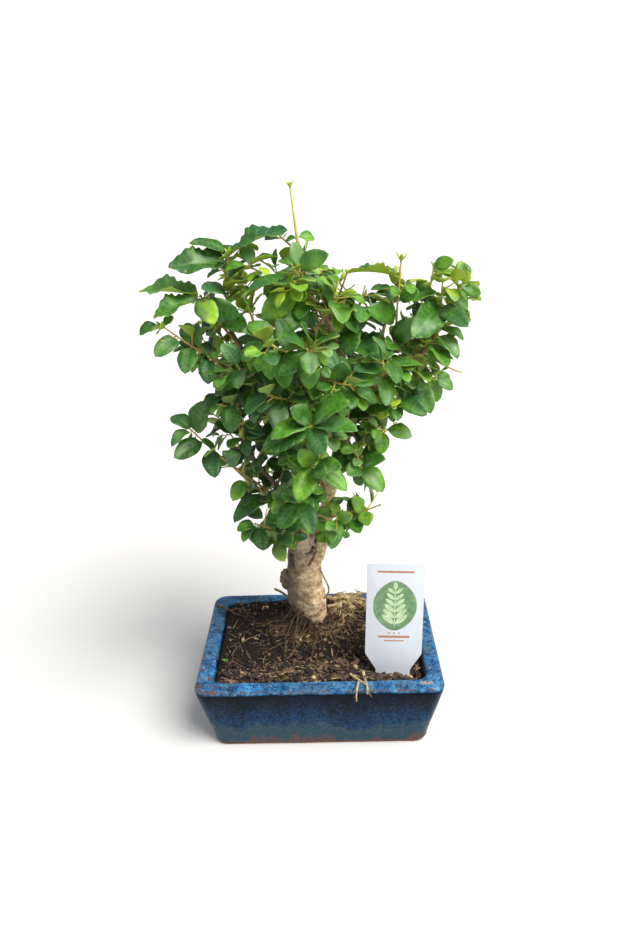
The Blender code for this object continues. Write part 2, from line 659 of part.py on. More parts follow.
def dry_root(strands, x, y, size, ground):
    """Dry root strands that meet in one knot; their points are (x, y, lift above where they would lie)."""
    shares = (-1, -0.5, 0, 0.5, 1)
    spots = [(x + size[0] * a, y + size[1] * b) for a in shares for b in shares]
    level = max(ground.height(a * MM, b * MM) for a, b in spots) + GAP
    heart = knob((x, y, level / MM + size[2]), size)
    tubes = []
    for thickness, route in strands:
        radius = thickness / 2 * MM
        points = [ground.lying(a * MM, b * MM, radius, lift * MM) for a, b, lift in route]
        ground.settle(points, radius)
        tubes.append(tube("strand", points, [radius] * len(points), 4))
    return boolean(heart, "UNION", tubes)


def make_dry_roots(collection, finish, ground):
    """Dry roots that lie loose: a tuft on the back lip, a bit over the front one, a runner at the left."""
    rear = [
        (2.2, [(6, 29, 0), (14, 34, 0.4), (23, 41, 0.6), (30, 51, 0)]),
        (2.0, [(5, 46, 0), (18, 40, 1), (30, 34, 1), (39, 32, 0)]),
        (2.0, [(14, 51, 0), (19, 40, 0.8), (23, 29, 0)]),
        (1.8, [(8, 38, 0.6), (21, 39, 2), (41, 39, 0)]),
        (1.8, [(22, 50, 0), (18, 38, 1.6), (11, 27, 0)]),
    ]
    front = [
        (2.2, [(19, -38, 1), (24, -44, 0.3), (28.5, -51, 0.2)]),
        (2.4, [(27, -33, 0), (27.8, -42.5, 0.4), (28.5, -51, 0), (28.3, -57.5, -0.6)]),
        (1.8, [(24, -44, 0), (22, -56.5, 0.2), (22, -58, -5.5)]),
    ]
    left = [
        (1.8, [(-72, 38, 0), (-66, 35, 0.2), (-58, 29, 0), (-49, 24, 0)]),
        (1.5, [(-62, 32, 0.4), (-58, 34, 0.6), (-50, 33, 0)]),
    ]
    tuft = dry_root(rear, 19.5, 39.5, (6, 4.6, 1.9), ground)
    bit = dry_root(front, 28.4, -50, (2, 2.6, 1.5), ground)
    runner = dry_root(left, -62.5, 32.4, (1.6, 1.4, 1.1), ground)
    add_object("dry_roots_rear", tuft, collection, finish)
    add_object("dry_roots_front", bit, collection, finish)
    add_object("dry_root_left", runner, collection, finish)


# Leafy twigs


def twig_route(start, tip, bough_direction):
    """A line that leaves the bough along it and low, then lifts towards the twig's tip."""
    span = tip - start
    reach = span.length
    first = start + span * 0.3 + bough_direction * reach * 0.1 - Vector((0, 0, 0.05 * reach))
    second = start + span * 0.68 - Vector((0, 0, 0.07 * reach))
    return interpolate_bezier(start, first, second, tip, 7)


def end_is_clear(tree, place, heading, radius):
    """Whether the flat end of a tube here, facing along its heading, lies clear of the wood."""
    across = heading.orthogonal().normalized() * radius
    rim = [Matrix.Rotation(n * math.pi / 4, 3, heading) @ across for n in range(8)]
    for spot in [place, *(place + offset for offset in rim)]:
        nearest, normal, _, distance = tree.find_nearest(spot)
        if (spot - nearest).dot(normal) < 0 or distance < GAP:
            return False
    return True


def trimmed(route, tree, radius):
    """The route from where its tube first clears the wood."""
    steps = 300
    for step in range(steps):
        share = step / steps
        if end_is_clear(tree, along(route, share), direction_along(route, share), radius):
            return [along(route, share + (1 - share) * n / 3) for n in range(4)]
    return route


def grow_twigs(wood):
    """Every twig's route, from just clear of the bough that carries it to its tip."""
    graph = bpy.context.evaluated_depsgraph_get()
    tree = BVHTree.FromObject(wood, graph)
    boughs = bough_routes()
    twigs = []
    for name, (bough, share, tip, pairs, leaf) in TWIGS.items():
        start = along(boughs[bough], share)
        route = twig_route(start, Vector(tip) * MM, direction_along(boughs[bough], share))
        span = SHOOT_SPAN if name == "top_shoot" else LEAFY_SPAN
        twigs.append(Twig(name, trimmed(route, tree, TWIG_RADIUS), pairs, leaf * MM, span))
    return twigs


def outline_share(u):
    """Half width of a leaf along its length, as a share of its widest."""
    return math.sin(math.pi * min(1, max(0, u)) ** 0.86) ** 0.62


def leaf_point(leaf, u, v, lift):
    """A point of a leaf: u from stem to tip, v from edge to edge, lift above the blade's middle."""
    half = leaf.width / 2 * outline_share(u)
    wave = leaf.wave * abs(v) * math.sin(u * 4 * math.pi + (0 if v > 0 else 1.9))
    rise = abs(v) * half * leaf.fold - leaf.curl * leaf.length * u * u + wave
    local = Vector((v * half, BLADE_START + (leaf.length - BLADE_START) * u, rise + lift))
    return leaf.place + leaf.frame @ local


def blade_template(across, rows):
    """(points as (u, v, side), faces) of a closed blade, pointed at both ends.

    Both faces are the same triangles, because one is the other extruded.
    """
    bm = bmesh.new()
    bmesh.ops.create_grid(bm, x_segments=across, y_segments=rows, size=0.5)
    for end in (-0.5, 0.5):
        row = [vert for vert in bm.verts if abs(vert.co.y - end) < 0.001]
        bmesh.ops.pointmerge(bm, verts=row, merge_co=(0, end, 0))
    bmesh.ops.triangulate(bm, faces=bm.faces)
    grown = bmesh.ops.extrude_face_region(bm, geom=bm.faces[:])["geom"]
    upper = [item for item in grown if isinstance(item, bmesh.types.BMVert)]
    bmesh.ops.translate(bm, vec=(0, 0, 1), verts=upper)
    bmesh.ops.recalc_face_normals(bm, faces=bm.faces)
    bm.verts.index_update()
    points = [(vert.co.y + 0.5, vert.co.x * 2, vert.co.z * 2 - 1) for vert in bm.verts]
    faces = [tuple(vert.index for vert in face.verts) for face in bm.faces]
    bm.free()
    return points, faces


def blade_points(leaf, template, thickness, start=0.0, grow=0.0):
    """The template's points on this leaf; start leaves out the stem end, and grow widens the blade."""
    wide = leaf._replace(width=leaf.width + 2 * grow, length=leaf.length + grow)
    return [
        leaf_point(wide, start + (1 - start) * u, v, side * thickness / 2)
        for u, v, side in template[0]
    ]


def seen_in_front(point):
    """Where the sight line from EYE to the point crosses the plane y = 0, as (x, z) in millimetres."""
    crossing = EYE.lerp(point, EYE.y / (EYE.y - point.y))
    return crossing.x / MM, crossing.z / MM


def is_enclosed(spot, edge):
    """Whether an (x, z) spot lies within a closed line: a level ray from it crosses the line an odd
    number of times."""
    x, z = spot
    crossings = 0
    for (xa, za), (xb, zb) in zip(edge, edge[1:] + edge[:1]):
        if (za > z) != (zb > z) and x < xa + (z - za) / (zb - za) * (xb - xa):
            crossings += 1
    return crossings % 2 == 1


def keeps_inside(leaf, edge):
    spots = [leaf_point(leaf, u, v, 0) for u, v in ((1, 0), (0.75, -1), (0.75, 1), (0.4, -1), (0.4, 1))]
    return all(is_enclosed(seen_in_front(spot), edge) for spot in spots)


class Crown:
    """What has been placed so far, so that nothing new crosses it."""

    def __init__(self, wood, twigs):
        graph = bpy.context.evaluated_depsgraph_get()
        self.wood = BVHTree.FromObject(wood, graph)
        self.plain = blade_template(1, 3)
        self.ribbed = blade_template(2, 3)
        self.wavy = blade_template(2, 4)
        self.twigs = {}
        for twig in twigs:
            mesh = twig_mesh(twig, 2 * GAP)
            points = [vert.co.copy() for vert in mesh.vertices]
            self.twigs[twig.name] = BVHTree.FromPolygons(points, [p.vertices[:] for p in mesh.polygons])
            bpy.data.meshes.remove(mesh)
        self.leaves = []

    def template(self, leaf):
        if leaf.length >= WAVY_LEAF:
            return self.wavy
        return self.ribbed if leaf.length >= RIBBED_LEAF else self.plain

    def blade(self, leaf, thickness, start=0.0, grow=0.0):
        template = self.template(leaf)
        return BVHTree.FromPolygons(blade_points(leaf, template, thickness, start, grow), template[1])

    def is_clear(self, leaf):
        whole = self.blade(leaf, BLADE_THICKNESS + 2 * GAP, 0.04, GAP)
        outer = self.blade(leaf, BLADE_THICKNESS + 2 * GAP, 0.24, GAP)
        if whole.overlap(self.wood) or outer.overlap(self.twigs[leaf.twig]):
            return False
        for name, twig in self.twigs.items():
            if name != leaf.twig and whole.overlap(twig):
                return False
        middle = leaf_point(leaf, 0.5, 0, 0)
        for other, other_middle, other_blade in self.leaves:
            if (middle - other_middle).length > (leaf.length + other.length) * 0.62:
                continue
            probe = outer if other.twig == leaf.twig else whole
            if probe.overlap(other_blade):
                return False
        return True

    def place(self, propose, edge=None):
        """Keeps the first proposed leaf that is clear of everything and inside the edge, if there is one."""
        for attempt in range(PLACING_TRIES):
            leaf = propose(attempt)
            if (edge is None or keeps_inside(leaf, edge)) and self.is_clear(leaf):
                middle = leaf_point(leaf, 0.5, 0, 0)
                self.leaves.append((leaf, middle, self.blade(leaf, BLADE_THICKNESS)))
                return


def leaf_frame(heading, facing):
    """Columns: across the blade, along it, and out of its upper face."""
    along_blade = heading.normalized()
    upper = (facing - along_blade * facing.dot(along_blade)).normalized()
    return Matrix((along_blade.cross(upper), along_blade, upper)).transposed()


def width_share(length):
    """A leaf's width for its length: short leaves are nearly round and long ones narrow."""
    grown = min(1, max(0, (length - SHORT_LEAF) / (WAVY_LEAF - SHORT_LEAF)))
    return SHORT_LEAF_SHARE + (LONG_LEAF_SHARE - SHORT_LEAF_SHARE) * grown


def proposed_leaf(rng, twig, share, radial, size, spread, attempt):
    """One leaf at a node of a twig; later attempts stray further and come out smaller."""
    place = along(twig.route, share)
    tangent = direction_along(twig.route, share)
    stray = 0.16 + 0.07 * attempt
    angle = spread + rng.uniform(-stray, stray)
    wander = Vector([rng.uniform(-stray, stray) for _ in range(3)])
    heading = tangent * math.cos(angle) + radial * math.sin(angle) + wander
    heading.z -= rng.uniform(0.05, 0.3)
    outward = Vector((place.x - TRUNK_FOOT.x, place.y - TRUNK_FOOT.y, 0)).normalized()
    low = min(1, max(0, (280 * MM - place.z) / (150 * MM)))
    facing = Vector((0, 0, 1)) + outward * (0.25 + 0.75 * low) + wander * 1.4
    length = size * (1 - 0.025 * attempt)
    width = length * width_share(length) * rng.uniform(0.92, 1.12)
    wave = length * rng.uniform(0.02, 0.05) if length >= WAVY_LEAF else 0
    return Leaf(
        twig.name, place, leaf_frame(heading, facing), length, width,
        rng.uniform(0.25, 0.5), rng.uniform(0.08, 0.24), wave,
    )


def shown_leaf(rng, twig, share, tip, front, attempt):
    """A leaf of the outline, drawn from its twig to its tip; later attempts let the tip stray."""
    place = along(twig.route, share)
    stray = 1.2 * MM * attempt
    chord = Vector(tip) * MM - place + Vector([rng.uniform(-stray, stray) for _ in range(3)])
    turn = math.radians(6) * attempt * rng.uniform(-1, 1)
    facing = Vector((0, -front, 1.1 - front)) + Vector((math.sin(turn), 0, 0))
    frame = leaf_frame(chord, facing) @ Matrix.Rotation(math.atan(SHOWN_CURL), 3, "X")
    length = chord.length / math.hypot(1, SHOWN_CURL)
    width = length * width_share(length) * rng.uniform(0.95, 1.1)
    fold = rng.uniform(0.2, 0.3) + 0.4 * (1 - front)
    wave = length * 0.045 if length >= WAVY_LEAF else 0
    return Leaf(twig.name, place, frame, length, width, fold, SHOWN_CURL, wave)


def pair_radials(tangent, turn):
    """The two opposite ways out of a twig for one pair of leaves."""
    level = tangent.cross(Vector((0, 0, 1)))
    if level.length < 0.2:
        level = Vector((1, 0, 0)) - tangent * tangent.x
    level.normalize()
    raised = level.cross(tangent).normalized()
    radial = level * math.cos(turn) + raised * math.sin(turn)
    return radial, -radial


def grow_leaves(twigs, wood):
    """Opposite pairs along each twig, each pair turned from the last, and a smaller pair at the tip."""
    crown = Crown(wood, twigs)
    for twig in twigs:
        for number, (share, tip, front) in enumerate(SHOWN_LEAVES.get(twig.name, [])):
            rng = random.Random(f"{SEED} {twig.name} shown {number}")
            crown.place(lambda attempt: shown_leaf(rng, twig, share, tip, front, attempt))
    for twig in twigs:
        first, last = twig.span
        nodes = [first + (last - first) * n / twig.pairs for n in range(twig.pairs)] + [last]
        turn = random.Random(f"{SEED} {twig.name}").uniform(-0.3, 0.3)
        for number, share in enumerate(nodes):
            at_tip = number == twig.pairs
            spread = 0.75 if at_tip else 1.05
            middle = 1 - abs(number / twig.pairs - 0.55)
            size = twig.leaf_length * (0.8 if at_tip else 0.84 + 0.22 * middle)
            for side, radial in enumerate(pair_radials(direction_along(twig.route, share), turn)):
                rng = random.Random(f"{SEED} {twig.name} {number} {side}")
                crown.place(
                    lambda attempt: proposed_leaf(rng, twig, share, radial, size, spread, attempt),
                    CROWN_EDGE,
                )
            turn += math.radians(78)
    return crown


def twig_mesh(twig, extra=0.0):
    last = len(twig.route) - 1
    radii = [
        TWIG_RADIUS + (TWIG_TIP_RADIUS - TWIG_RADIUS) * n / last + extra for n in range(last + 1)
    ]
    return tube(twig.name, twig.route, radii, 4)


def make_leafy_twigs(collection, finish, wood):
    twigs = grow_twigs(wood)
    crown = grow_leaves(twigs, wood)
    for twig in twigs:
        blades = []
        for leaf, _, _ in crown.leaves:
            if leaf.twig != twig.name:
                continue
            template = crown.template(leaf)
            mesh = bpy.data.meshes.new("blade")
            mesh.from_pydata(blade_points(leaf, template, BLADE_THICKNESS), [], template[1])
            blades.append(mesh)
        joined = boolean(twig_mesh(twig), "UNION", blades)
        add_object("twig_" + twig.name, joined, collection, finish)


def main():
    clear_scene()
    bonsai = new_collection("privet_bonsai")
    glaze = material("blue glaze", (0.03, 0.13, 0.36), 0.25)
    earth = material("potting soil", (0.05, 0.03, 0.02), 0.95)
    bark = material("bark", (0.42, 0.30, 0.18), 0.85)
    straw = material("dry root", (0.55, 0.42, 0.26), 0.9)
    leaf = material("leaf", (0.07, 0.22, 0.05), 0.4)
    plastic = material("label plastic", (0.85, 0.88, 0.92), 0.4)
    screen = material("screen mesh", (0.04, 0.04, 0.04), 0.6)
    pot = make_pot(bonsai, glaze)
    make_drain_screens(bonsai, screen)
    soil = make_soil(bonsai, earth)
    ground = Ground(soil, pot)
    wood = make_wood(bonsai, bark, ground)
    make_dry_roots(bonsai, straw, ground)
    make_label(bonsai, plastic)
    make_leafy_twigs(bonsai, leaf, wood)


if __name__ == "__main__":
    main()
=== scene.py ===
"""The looks of a privet bonsai in a blue glazed pot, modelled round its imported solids.

Units are metres, +Z up, in the part's own frame: the origin is the middle of the pot's underside and
the pot's long front faces -Y. The boughs, twigs and leaves follow the same tables and the same rule
of growth as the solids do, so each finer piece lies where its solid does.
"""

import math
import random
from collections import namedtuple
from functools import cached_property, lru_cache

import bmesh
import bpy
from mathutils import Matrix, Vector, noise
from mathutils.bvhtree import BVHTree
from mathutils.geometry import interpolate_bezier, intersect_point_line


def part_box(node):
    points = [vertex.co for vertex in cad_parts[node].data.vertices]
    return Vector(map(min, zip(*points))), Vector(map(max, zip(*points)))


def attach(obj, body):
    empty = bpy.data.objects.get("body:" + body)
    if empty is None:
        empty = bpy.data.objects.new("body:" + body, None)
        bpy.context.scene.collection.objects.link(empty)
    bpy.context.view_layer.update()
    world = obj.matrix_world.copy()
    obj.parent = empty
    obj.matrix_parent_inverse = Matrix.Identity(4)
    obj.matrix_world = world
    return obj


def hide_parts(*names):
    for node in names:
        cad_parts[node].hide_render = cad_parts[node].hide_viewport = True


MM = 0.001
GAP = 0.35 * MM
SEED = 41
UP = Vector((0, 0, 1))

# Pot
POT_CORNER_RADIUS = 8 * MM
POT_FOOT_INSET = (9.5 * MM, 8.5 * MM)
LIP_WIDTH = 10 * MM
LIP_ROUNDING = 2.2 * MM
INNER_ROUNDING = 1.8 * MM
LONG_RUN = 50 * MM
LONG_RUN_CUTS = 20
FLOOR = 6 * MM
DRAIN_RADIUS = 5 * MM
DRAIN_SPACING = 60 * MM
CLAY_BAND = 2.2 * MM
GLAZE_ROLL = 0.45 * MM

# Soil
SOIL_LEVEL = 43.6 * MM
MOUND_HEIGHT = 6 * MM
MOUND_SPREAD = 23 * MM
REAR_RISE = 4.2 * MM
RIGHT_DIP = 3 * MM
DIP_MIDDLE = 45 * MM
DIP_RUN = 6 * MM
ROOTED_REACH = 22 * MM

# How far from the middle small things lie and the front strip begins, in millimetres.
SCATTER_X = 62
SCATTER_Y = 42
FRONT_STRIP = 20

# Long pale roots that lie along the front, as places and thickness in millimetres.
FRONT_ROOTS = [
    ([(19, -36.5), (13, -38), (7, -39.5), (0, -42), (-8, -42.6)], 0.62),
    ([(-4, -43), (-12, -40), (-17, -37)], 0.4), ([(-40, -43), (-48, -43.4), (-55, -42.6)], 0.4),
    ([(33, -24), (38, -29), (41, -33)], 0.4), ([(8, -12), (9, -20), (14, -27), (21, -33)], 0.36),
]

# The dead root behind the trunk that rises out of the soil.
DEAD_ROOT = [(-31, 40, 59.7), (-26, 38, 58.2), (-20, 35, 54.5), (-12, 32, 49)]

# Label
LABEL_WIDTH = 34.6 * MM
LABEL_STEM_WIDTH = 21 * MM
LABEL_BODY = 57 * MM
LABEL_SHOULDER = 10 * MM
LABEL_STEM = 21 * MM
LABEL_ROUNDING = 1.2 * MM
LABEL_THICKNESS = 0.9 * MM
LABEL_FOOT = Vector((45.2, -33, 46)) * MM
LABEL_LEAN = math.radians(12)
LABEL_ROLL = math.radians(2.6)
PRINT_THICKNESS = 0.06 * MM

# Leaves
BLADE_THICKNESS = 0.72 * MM
FINE_BLADE_THICKNESS = 0.36 * MM
SCALLOPS = 15
BLADE_START = 0.12 * MM
PETIOLE = 1.9 * MM
RIBBED_LEAF = 22 * MM
WAVY_LEAF = 27 * MM
SHORT_LEAF = 10 * MM
SHORT_LEAF_SHARE = 0.7
LONG_LEAF_SHARE = 0.48
SIDE_SHOOTS = 6
PLACING_TRIES = 14
CROWN_TOP = 280 * MM
CROWN_HEIGHT = 150 * MM
NEARBY = 40 * MM
TWIG_RADIUS = 0.85 * MM
TWIG_TIP_RADIUS = 0.62 * MM

# The camera's aim from EYE
CAMERA_DOWN = math.radians(22.475)
CAMERA_LEFT = math.radians(1.574)
CAMERA_ROLL = math.radians(-2.136)
CAMERA_LENS = 29.0
DOME_LIGHT = 0.48
KEY_LIGHT = 4.5
KEY_SIZE = math.radians(42)
TOWARDS_KEY = Vector((0.5, -0.36, 0.8))

TRUNK_FOOT = Vector((-4, 18, 38)) * MM
COLLAR_LEVEL = 57 * MM

# The trunk as (place, radius), from its foot in the soil to the old pruning cut at its top.
TRUNK = [
    ((-4, 18, 38), 5.2),
    ((-4, 18, 46), 6.4),
    ((-4, 18, 54), 9.2),
    ((-5.5, 18, 60), 11.3),
    ((-7.5, 18, 67), 12.5),
    ((-9, 18, 76), 11.9),
    ((-8.5, 18, 86), 11.2),
    ((-8.3, 18, 96), 11.0),
    ((-8.2, 18, 106), 10.6),
    ((-8, 17, 113), 9.8),
    ((-7, 16, 117), 8.0),
]

# Old wounds in the trunk's front: from, to, as (x, z), and half width.
WOUNDS = [
    ((1.4, 124), (0.3, 111), 1.5), ((0.3, 111), (-2, 107), 1.9), ((-2, 107), (-6.4, 105.8), 1.5),
    ((-0.4, 103.4), (-2.4, 99), 1.5), ((-2.4, 99), (-5.2, 96.4), 1.1), ((-17, 102.5), (-16.8, 95.2), 2.4),
]

# Each bough: the points it grows through, then its radius where it leaves the wood and at its end.
BOUGHS = {
    "leader": (
        [(-4, 20, 98), (2, 22, 111), (6, 24, 124), (10, 26, 141), (14, 26, 162), (17, 24, 180),
         (21, 22, 199), (20, 20, 215), (18, 15, 236), (11, 11, 252), (3, 8, 266), (-4, 7, 281),
         (-4, 6, 297)], 5.4, 1.0),
    "right": (
        [(17, 24, 180), (24, 16, 204), (34, 10, 213), (47, 5, 222), (62, 5, 232), (71, 8, 241),
         (74, 8, 256)], 2.1, 1.0),
    "right_middle": ([(14, 26, 162), (20, 14, 167), (31, 4, 184), (41, -4, 199)], 1.8, 1.0),
    "left_high": (
        [(10, 26, 141), (-2, 22, 170), (-16, 18, 202), (-28, 15, 221), (-39, 11, 239),
         (-46, 8, 254)], 2.3, 1.0),
    "left_low": (
        [(-10, 12, 108), (-16, 6, 138), (-23, 2, 156), (-31, 0, 168), (-39, 1, 182),
         (-42, 3, 197)], 2.3, 1.0),
    "centre": (
        [(-7, 12, 108), (-9, 5, 130), (-9, -2, 155), (-7, -8, 185), (-2, -11, 212), (3, -12, 240),
         (6, -11, 257)], 2.4, 1.0),
    "back_left": (
        [(8, 24, 132), (0, 34, 160), (-16, 44, 190), (-28, 50, 222), (-34, 50, 244)], 2.2, 1.0),
    "back_right": (
        [(10, 26, 141), (20, 38, 166), (34, 47, 196), (43, 49, 228), (47, 48, 246)], 2.2, 1.0),
    "back": ([(14, 26, 162), (12, 38, 192), (8, 44, 224), (4, 45, 252)], 1.9, 1.0),
}

# Each leafy twig: the bough it grows from, how far along that bough, where its tip is,
# its number of leaf pairs, and the length of its largest leaves.
TWIGS = {
    "left_crest": ("left_high", 0.97, (-42, 5, 292), 1, 18),
    "left_shoulder": ("left_high", 0.85, (-58, 0, 271), 1, 20),
    "left_far": ("left_high", 0.62, (-81, -10, 259), 2, 15),
    "left_inner": ("left_high", 0.5, (-56, -4, 238), 3, 15),
    "left_front": ("left_high", 0.58, (-38, -26, 238), 3, 20),
    "left_rear": ("left_high", 0.72, (-64, 30, 256), 2, 21),
    "arm_tip": ("left_low", 0.36, (-69, -9, 197), 1, 17),
    "arm_upper": ("left_low", 0.98, (-49, 4, 214), 1, 12),
    "arm_front": ("left_low", 0.8, (-43, -20, 217), 1, 18),
    "arm_rear": ("left_low", 0.55, (-56, 34, 184), 2, 20),
    "low_left_side": ("left_low", 0.3, (-48, -8, 174), 1, 17),
    "low_left_front": ("left_low", 0.14, (-35, -17, 140), 1, 17),
    "low_left_foot": ("left_low", 0.05, (-26, -7, 124), 1, 15),
    "low_left_rear": ("left_low", 0.25, (-38, 40, 152), 2, 19),
    "right_spire": ("right", 0.5, (51, 1, 286), 1, 16),
    "right_inner": ("right", 0.68, (70, 12, 281), 1, 13),
    "right_outer": ("right", 0.8, (87, 10, 273), 1, 15),
    "right_crest": ("right", 0.97, (74, 4, 274), 1, 18),
    "right_side": ("right", 0.74, (73, -2, 250), 1, 14),
    "right_low": ("right", 0.56, (71, -4, 222), 1, 18),
    "right_front": ("right", 0.4, (42, -28, 240), 3, 20),
    "right_rear": ("right", 0.58, (70, 38, 244), 2, 21),
    "middle_tip": ("right_middle", 0.97, (50, -9, 212), 1, 12),
    "middle_side": ("right_middle", 0.72, (42, -8, 194), 1, 16),
    "middle_low": ("right_middle", 0.5, (28, -12, 172), 1, 19),
    "middle_rear": ("right_middle", 0.4, (52, 30, 184), 2, 20),
    "low_right": ("leader", 0.12, (40, 0, 142), 1, 11),
    "low_right_leaf": ("leader", 0.09, (14, -6, 137), 1, 15),
    "rosette": ("centre", 0.66, (1, -44, 209), 1, 20),
    "rosette_low": ("centre", 0.5, (2, -40, 185), 1, 18),
    "front_low": ("centre", 0.3, (-8, -30, 160), 1, 19),
    "front_hanging": ("centre", 0.7, (-22, -34, 224), 2, 20),
    "front_left": ("centre", 0.85, (-22, -32, 252), 4, 20),
    "front_middle": ("centre", 0.9, (0, -44, 250), 3, 20),
    "front_right": ("centre", 0.8, (24, -36, 228), 3, 20),
    "centre_top": ("centre", 0.98, (16, -16, 272), 3, 20),
    "top_pale": ("leader", 0.86, (-4, -9, 285), 1, 18),
    "top_shoot": ("leader", 0.985, (-7, 6, 325), 1, 12),
    "top_left": ("leader", 0.88, (-32, 0, 286), 1, 17),
    "top_middle": ("leader", 0.8, (-6, -14, 279), 3, 18),
    "top_right": ("leader", 0.76, (22, 2, 280), 2, 18),
    "top_far_right": ("leader", 0.7, (32, -6, 272), 3, 19),
    "back_left_top": ("back_left", 0.97, (-42, 50, 270), 2, 21),
    "back_left_side": ("back_left", 0.72, (-62, 58, 226), 2, 21),
    "back_left_low": ("back_left", 0.42, (-30, 70, 196), 2, 20),
    "back_top": ("back", 0.97, (-2, 48, 284), 2, 21),
    "back_middle": ("back", 0.62, (10, 76, 236), 2, 21),
    "back_low": ("back", 0.3, (8, 66, 180), 2, 20),
    "back_right_top": ("back_right", 0.97, (54, 50, 272), 2, 21),
    "back_right_side": ("back_right", 0.75, (76, 52, 222), 2, 21),
    "back_right_low": ("back_right", 0.42, (44, 66, 186), 2, 20),
}

# The leaves that make the crown's outline and its two front rosettes, by twig: how far along
# the twig each one sits, where its tip is, and how much its upper face turns from the sky (0)
# towards the front (1).
SHOWN_LEAVES = {
    "left_crest": [
        (0.88, (-72, -8, 286), 0.5), (0.96, (-62, 2, 298), 0.2), (0.97, (-9, 4, 303), 0.3),
        (0.45, (-33, -4, 279), 0.2), (0.4, (-55, -10, 275), 0.6),
        (0.08, (-35, -14, 252), 0.8),
    ],
    "left_shoulder": [
        (0.96, (-92, 0, 273), 0.12), (0.9, (-81, -14, 261), 0.2), (0.98, (-50, -18, 258), 0.9),
        (0.8, (-38, -12, 266), 0.85),
    ],
    "left_far": [
        (0.98, (-90, -14, 253), 0.3), (0.94, (-73, -4, 261), 0.5), (0.8, (-82, -16, 241), 0.6),
        (0.7, (-69, 6, 255), 0.7), (0.68, (-70, -22, 237), 0.95), (0.52, (-66, -16, 232), 0.5),
    ],
    "left_inner": [(0.98, (-57, -14, 225), 0.6)],
    "arm_upper": [(0.9, (-53, 4, 223), 0.7), (0.85, (-62, -6, 207), 0.1), (0.6, (-43, 4, 222), 0.8)],
    "arm_tip": [
        (0.98, (-80, -4, 204), 0.3), (0.98, (-80, -16, 190), 0.2), (0.95, (-56, -16, 215), 0.6),
        (0.84, (-79, -18, 185), 0.6), (0.76, (-57, -22, 172), 0.95), (0.6, (-41, -20, 187), 0.8),
    ],
    "arm_front": [(0.98, (-44, -30, 202), 0.9)],
    "low_left_side": [(0.7, (-48, -14, 154), 0.7), (0.3, (-47, -16, 140), 0.3)],
    "low_left_front": [
        (0.98, (-46, -20, 140), 0.3), (0.95, (-43, -26, 132), 0.4), (0.9, (-32, -28, 128), 0.9),
    ],
    "low_left_foot": [(0.9, (-18, -16, 114), 0.9)],
    "top_left": [(0.97, (-15, -3, 290), 0.15), (0.96, (-43, -7, 284), 0.3)],
    "top_shoot": [(0.05, (-11, 8, 297), 0.5), (0.07, (5, 8, 297), 0.5)],
    "top_middle": [
        (0.97, (-30, -18, 276), 0.35), (0.96, (5, -20, 279), 0.2), (0.7, (-25, -16, 262), 0.8),
        (0.45, (-12, -20, 252), 0.85),
    ],
    "top_far_right": [(0.3, (22, -20, 240), 0.85), (0.12, (33, -20, 242), 0.8)],
    "top_pale": [(0.96, (12, -18, 294), 0.75)],
    "right_spire": [
        (0.86, (22, -4, 281), 0.0), (0.7, (34, -4, 272), 0.2), (0.68, (60, -6, 271), 0.75),
        (0.5, (32, -12, 264), 0.75), (0.3, (58, -10, 258), 0.75),
    ],
    "right_inner": [(0.97, (80, 8, 285), 0.7), (0.6, (60, 8, 274), 0.6), (0.66, (77, 14, 275), 0.1)],
    "right_outer": [(0.8, (74, 6, 277), 0.3), (0.84, (95, 4, 266), 0.75), (0.9, (84, 14, 279), 0.3)],
    "right_crest": [
        (0.6, (55, -2, 261), 0.2), (0.66, (94, 0, 261), 0.1), (0.2, (88, -10, 252), 0.7),
        (0.2, (54, -18, 250), 0.8), (0.5, (79, -10, 261), 0.4),
    ],
    "right_side": [(0.96, (84, -8, 243), 0.2), (0.7, (83, -12, 236), 0.3), (0.3, (70, -20, 232), 0.7)],
    "right_low": [(0.97, (79, -8, 215), 0.5), (0.8, (73, -10, 211), 0.7), (0.5, (65, -16, 203), 0.7)],
    "middle_tip": [(0.9, (65, -14, 206), 0.6), (0.7, (47, -18, 202), 0.9)],
    "middle_side": [(0.95, (57, -12, 190), 0.5), (0.8, (38, -14, 181), 0.8)],
    "middle_low": [(0.9, (44, -18, 181), 0.5), (0.9, (39, -20, 159), 0.4)],
    "low_right": [(0.64, (22, 0, 147), 0.6), (0.66, (31, -6, 131), 0.8), (0.4, (27, -8, 127), 0.6)],
    "low_right_leaf": [(0.9, (10, -18, 122), 0.9), (0.96, (22, -14, 144), 0.8)],
    "rosette": [
        (0.9, (21, -50, 224), 0.4), (0.94, (25, -54, 210), 0.35), (0.9, (-20, -56, 208), 0.35),
        (0.96, (-23, -52, 201), 0.6), (1.0, (8, -60, 200), 0.7), (0.86, (-10, -50, 221), 0.6),
    ],
    "rosette_low": [
        (0.9, (-8, -54, 171), 0.7), (0.96, (19, -50, 175), 0.4), (0.94, (-5, -48, 199), 0.7),
        (1.0, (11, -48, 193), 0.7), (0.97, (4, -54, 173), 0.6),
    ],
    "front_low": [(0.95, (-19, -42, 149), 0.65), (0.9, (0, -42, 146), 0.7)],
}

# The stretch of a twig that bears leaves; the top shoot is bare above its first third.
LEAFY_SPAN = (0.3, 0.93)
SHOOT_SPAN = (0.03, 0.3)
SHOWN_CURL = 0.22

# Old wounds on the trunk as (place, half sizes), and a thin aerial root that loops off its right side.
PRUNED_STUB = ((-7, 9.5, 106), (6.2, 4.6, 5.6))
SIDE_STUB = ((-21.3, 16, 82), (3.4, 3.4, 8))
AERIAL_ROOT = [(1, 15, 91), (4.6, 12, 84), (7, 11, 78), (6.4, 11, 73), (3, 14, 67)]
AERIAL_ROOT_RADIUS = 0.6 * MM

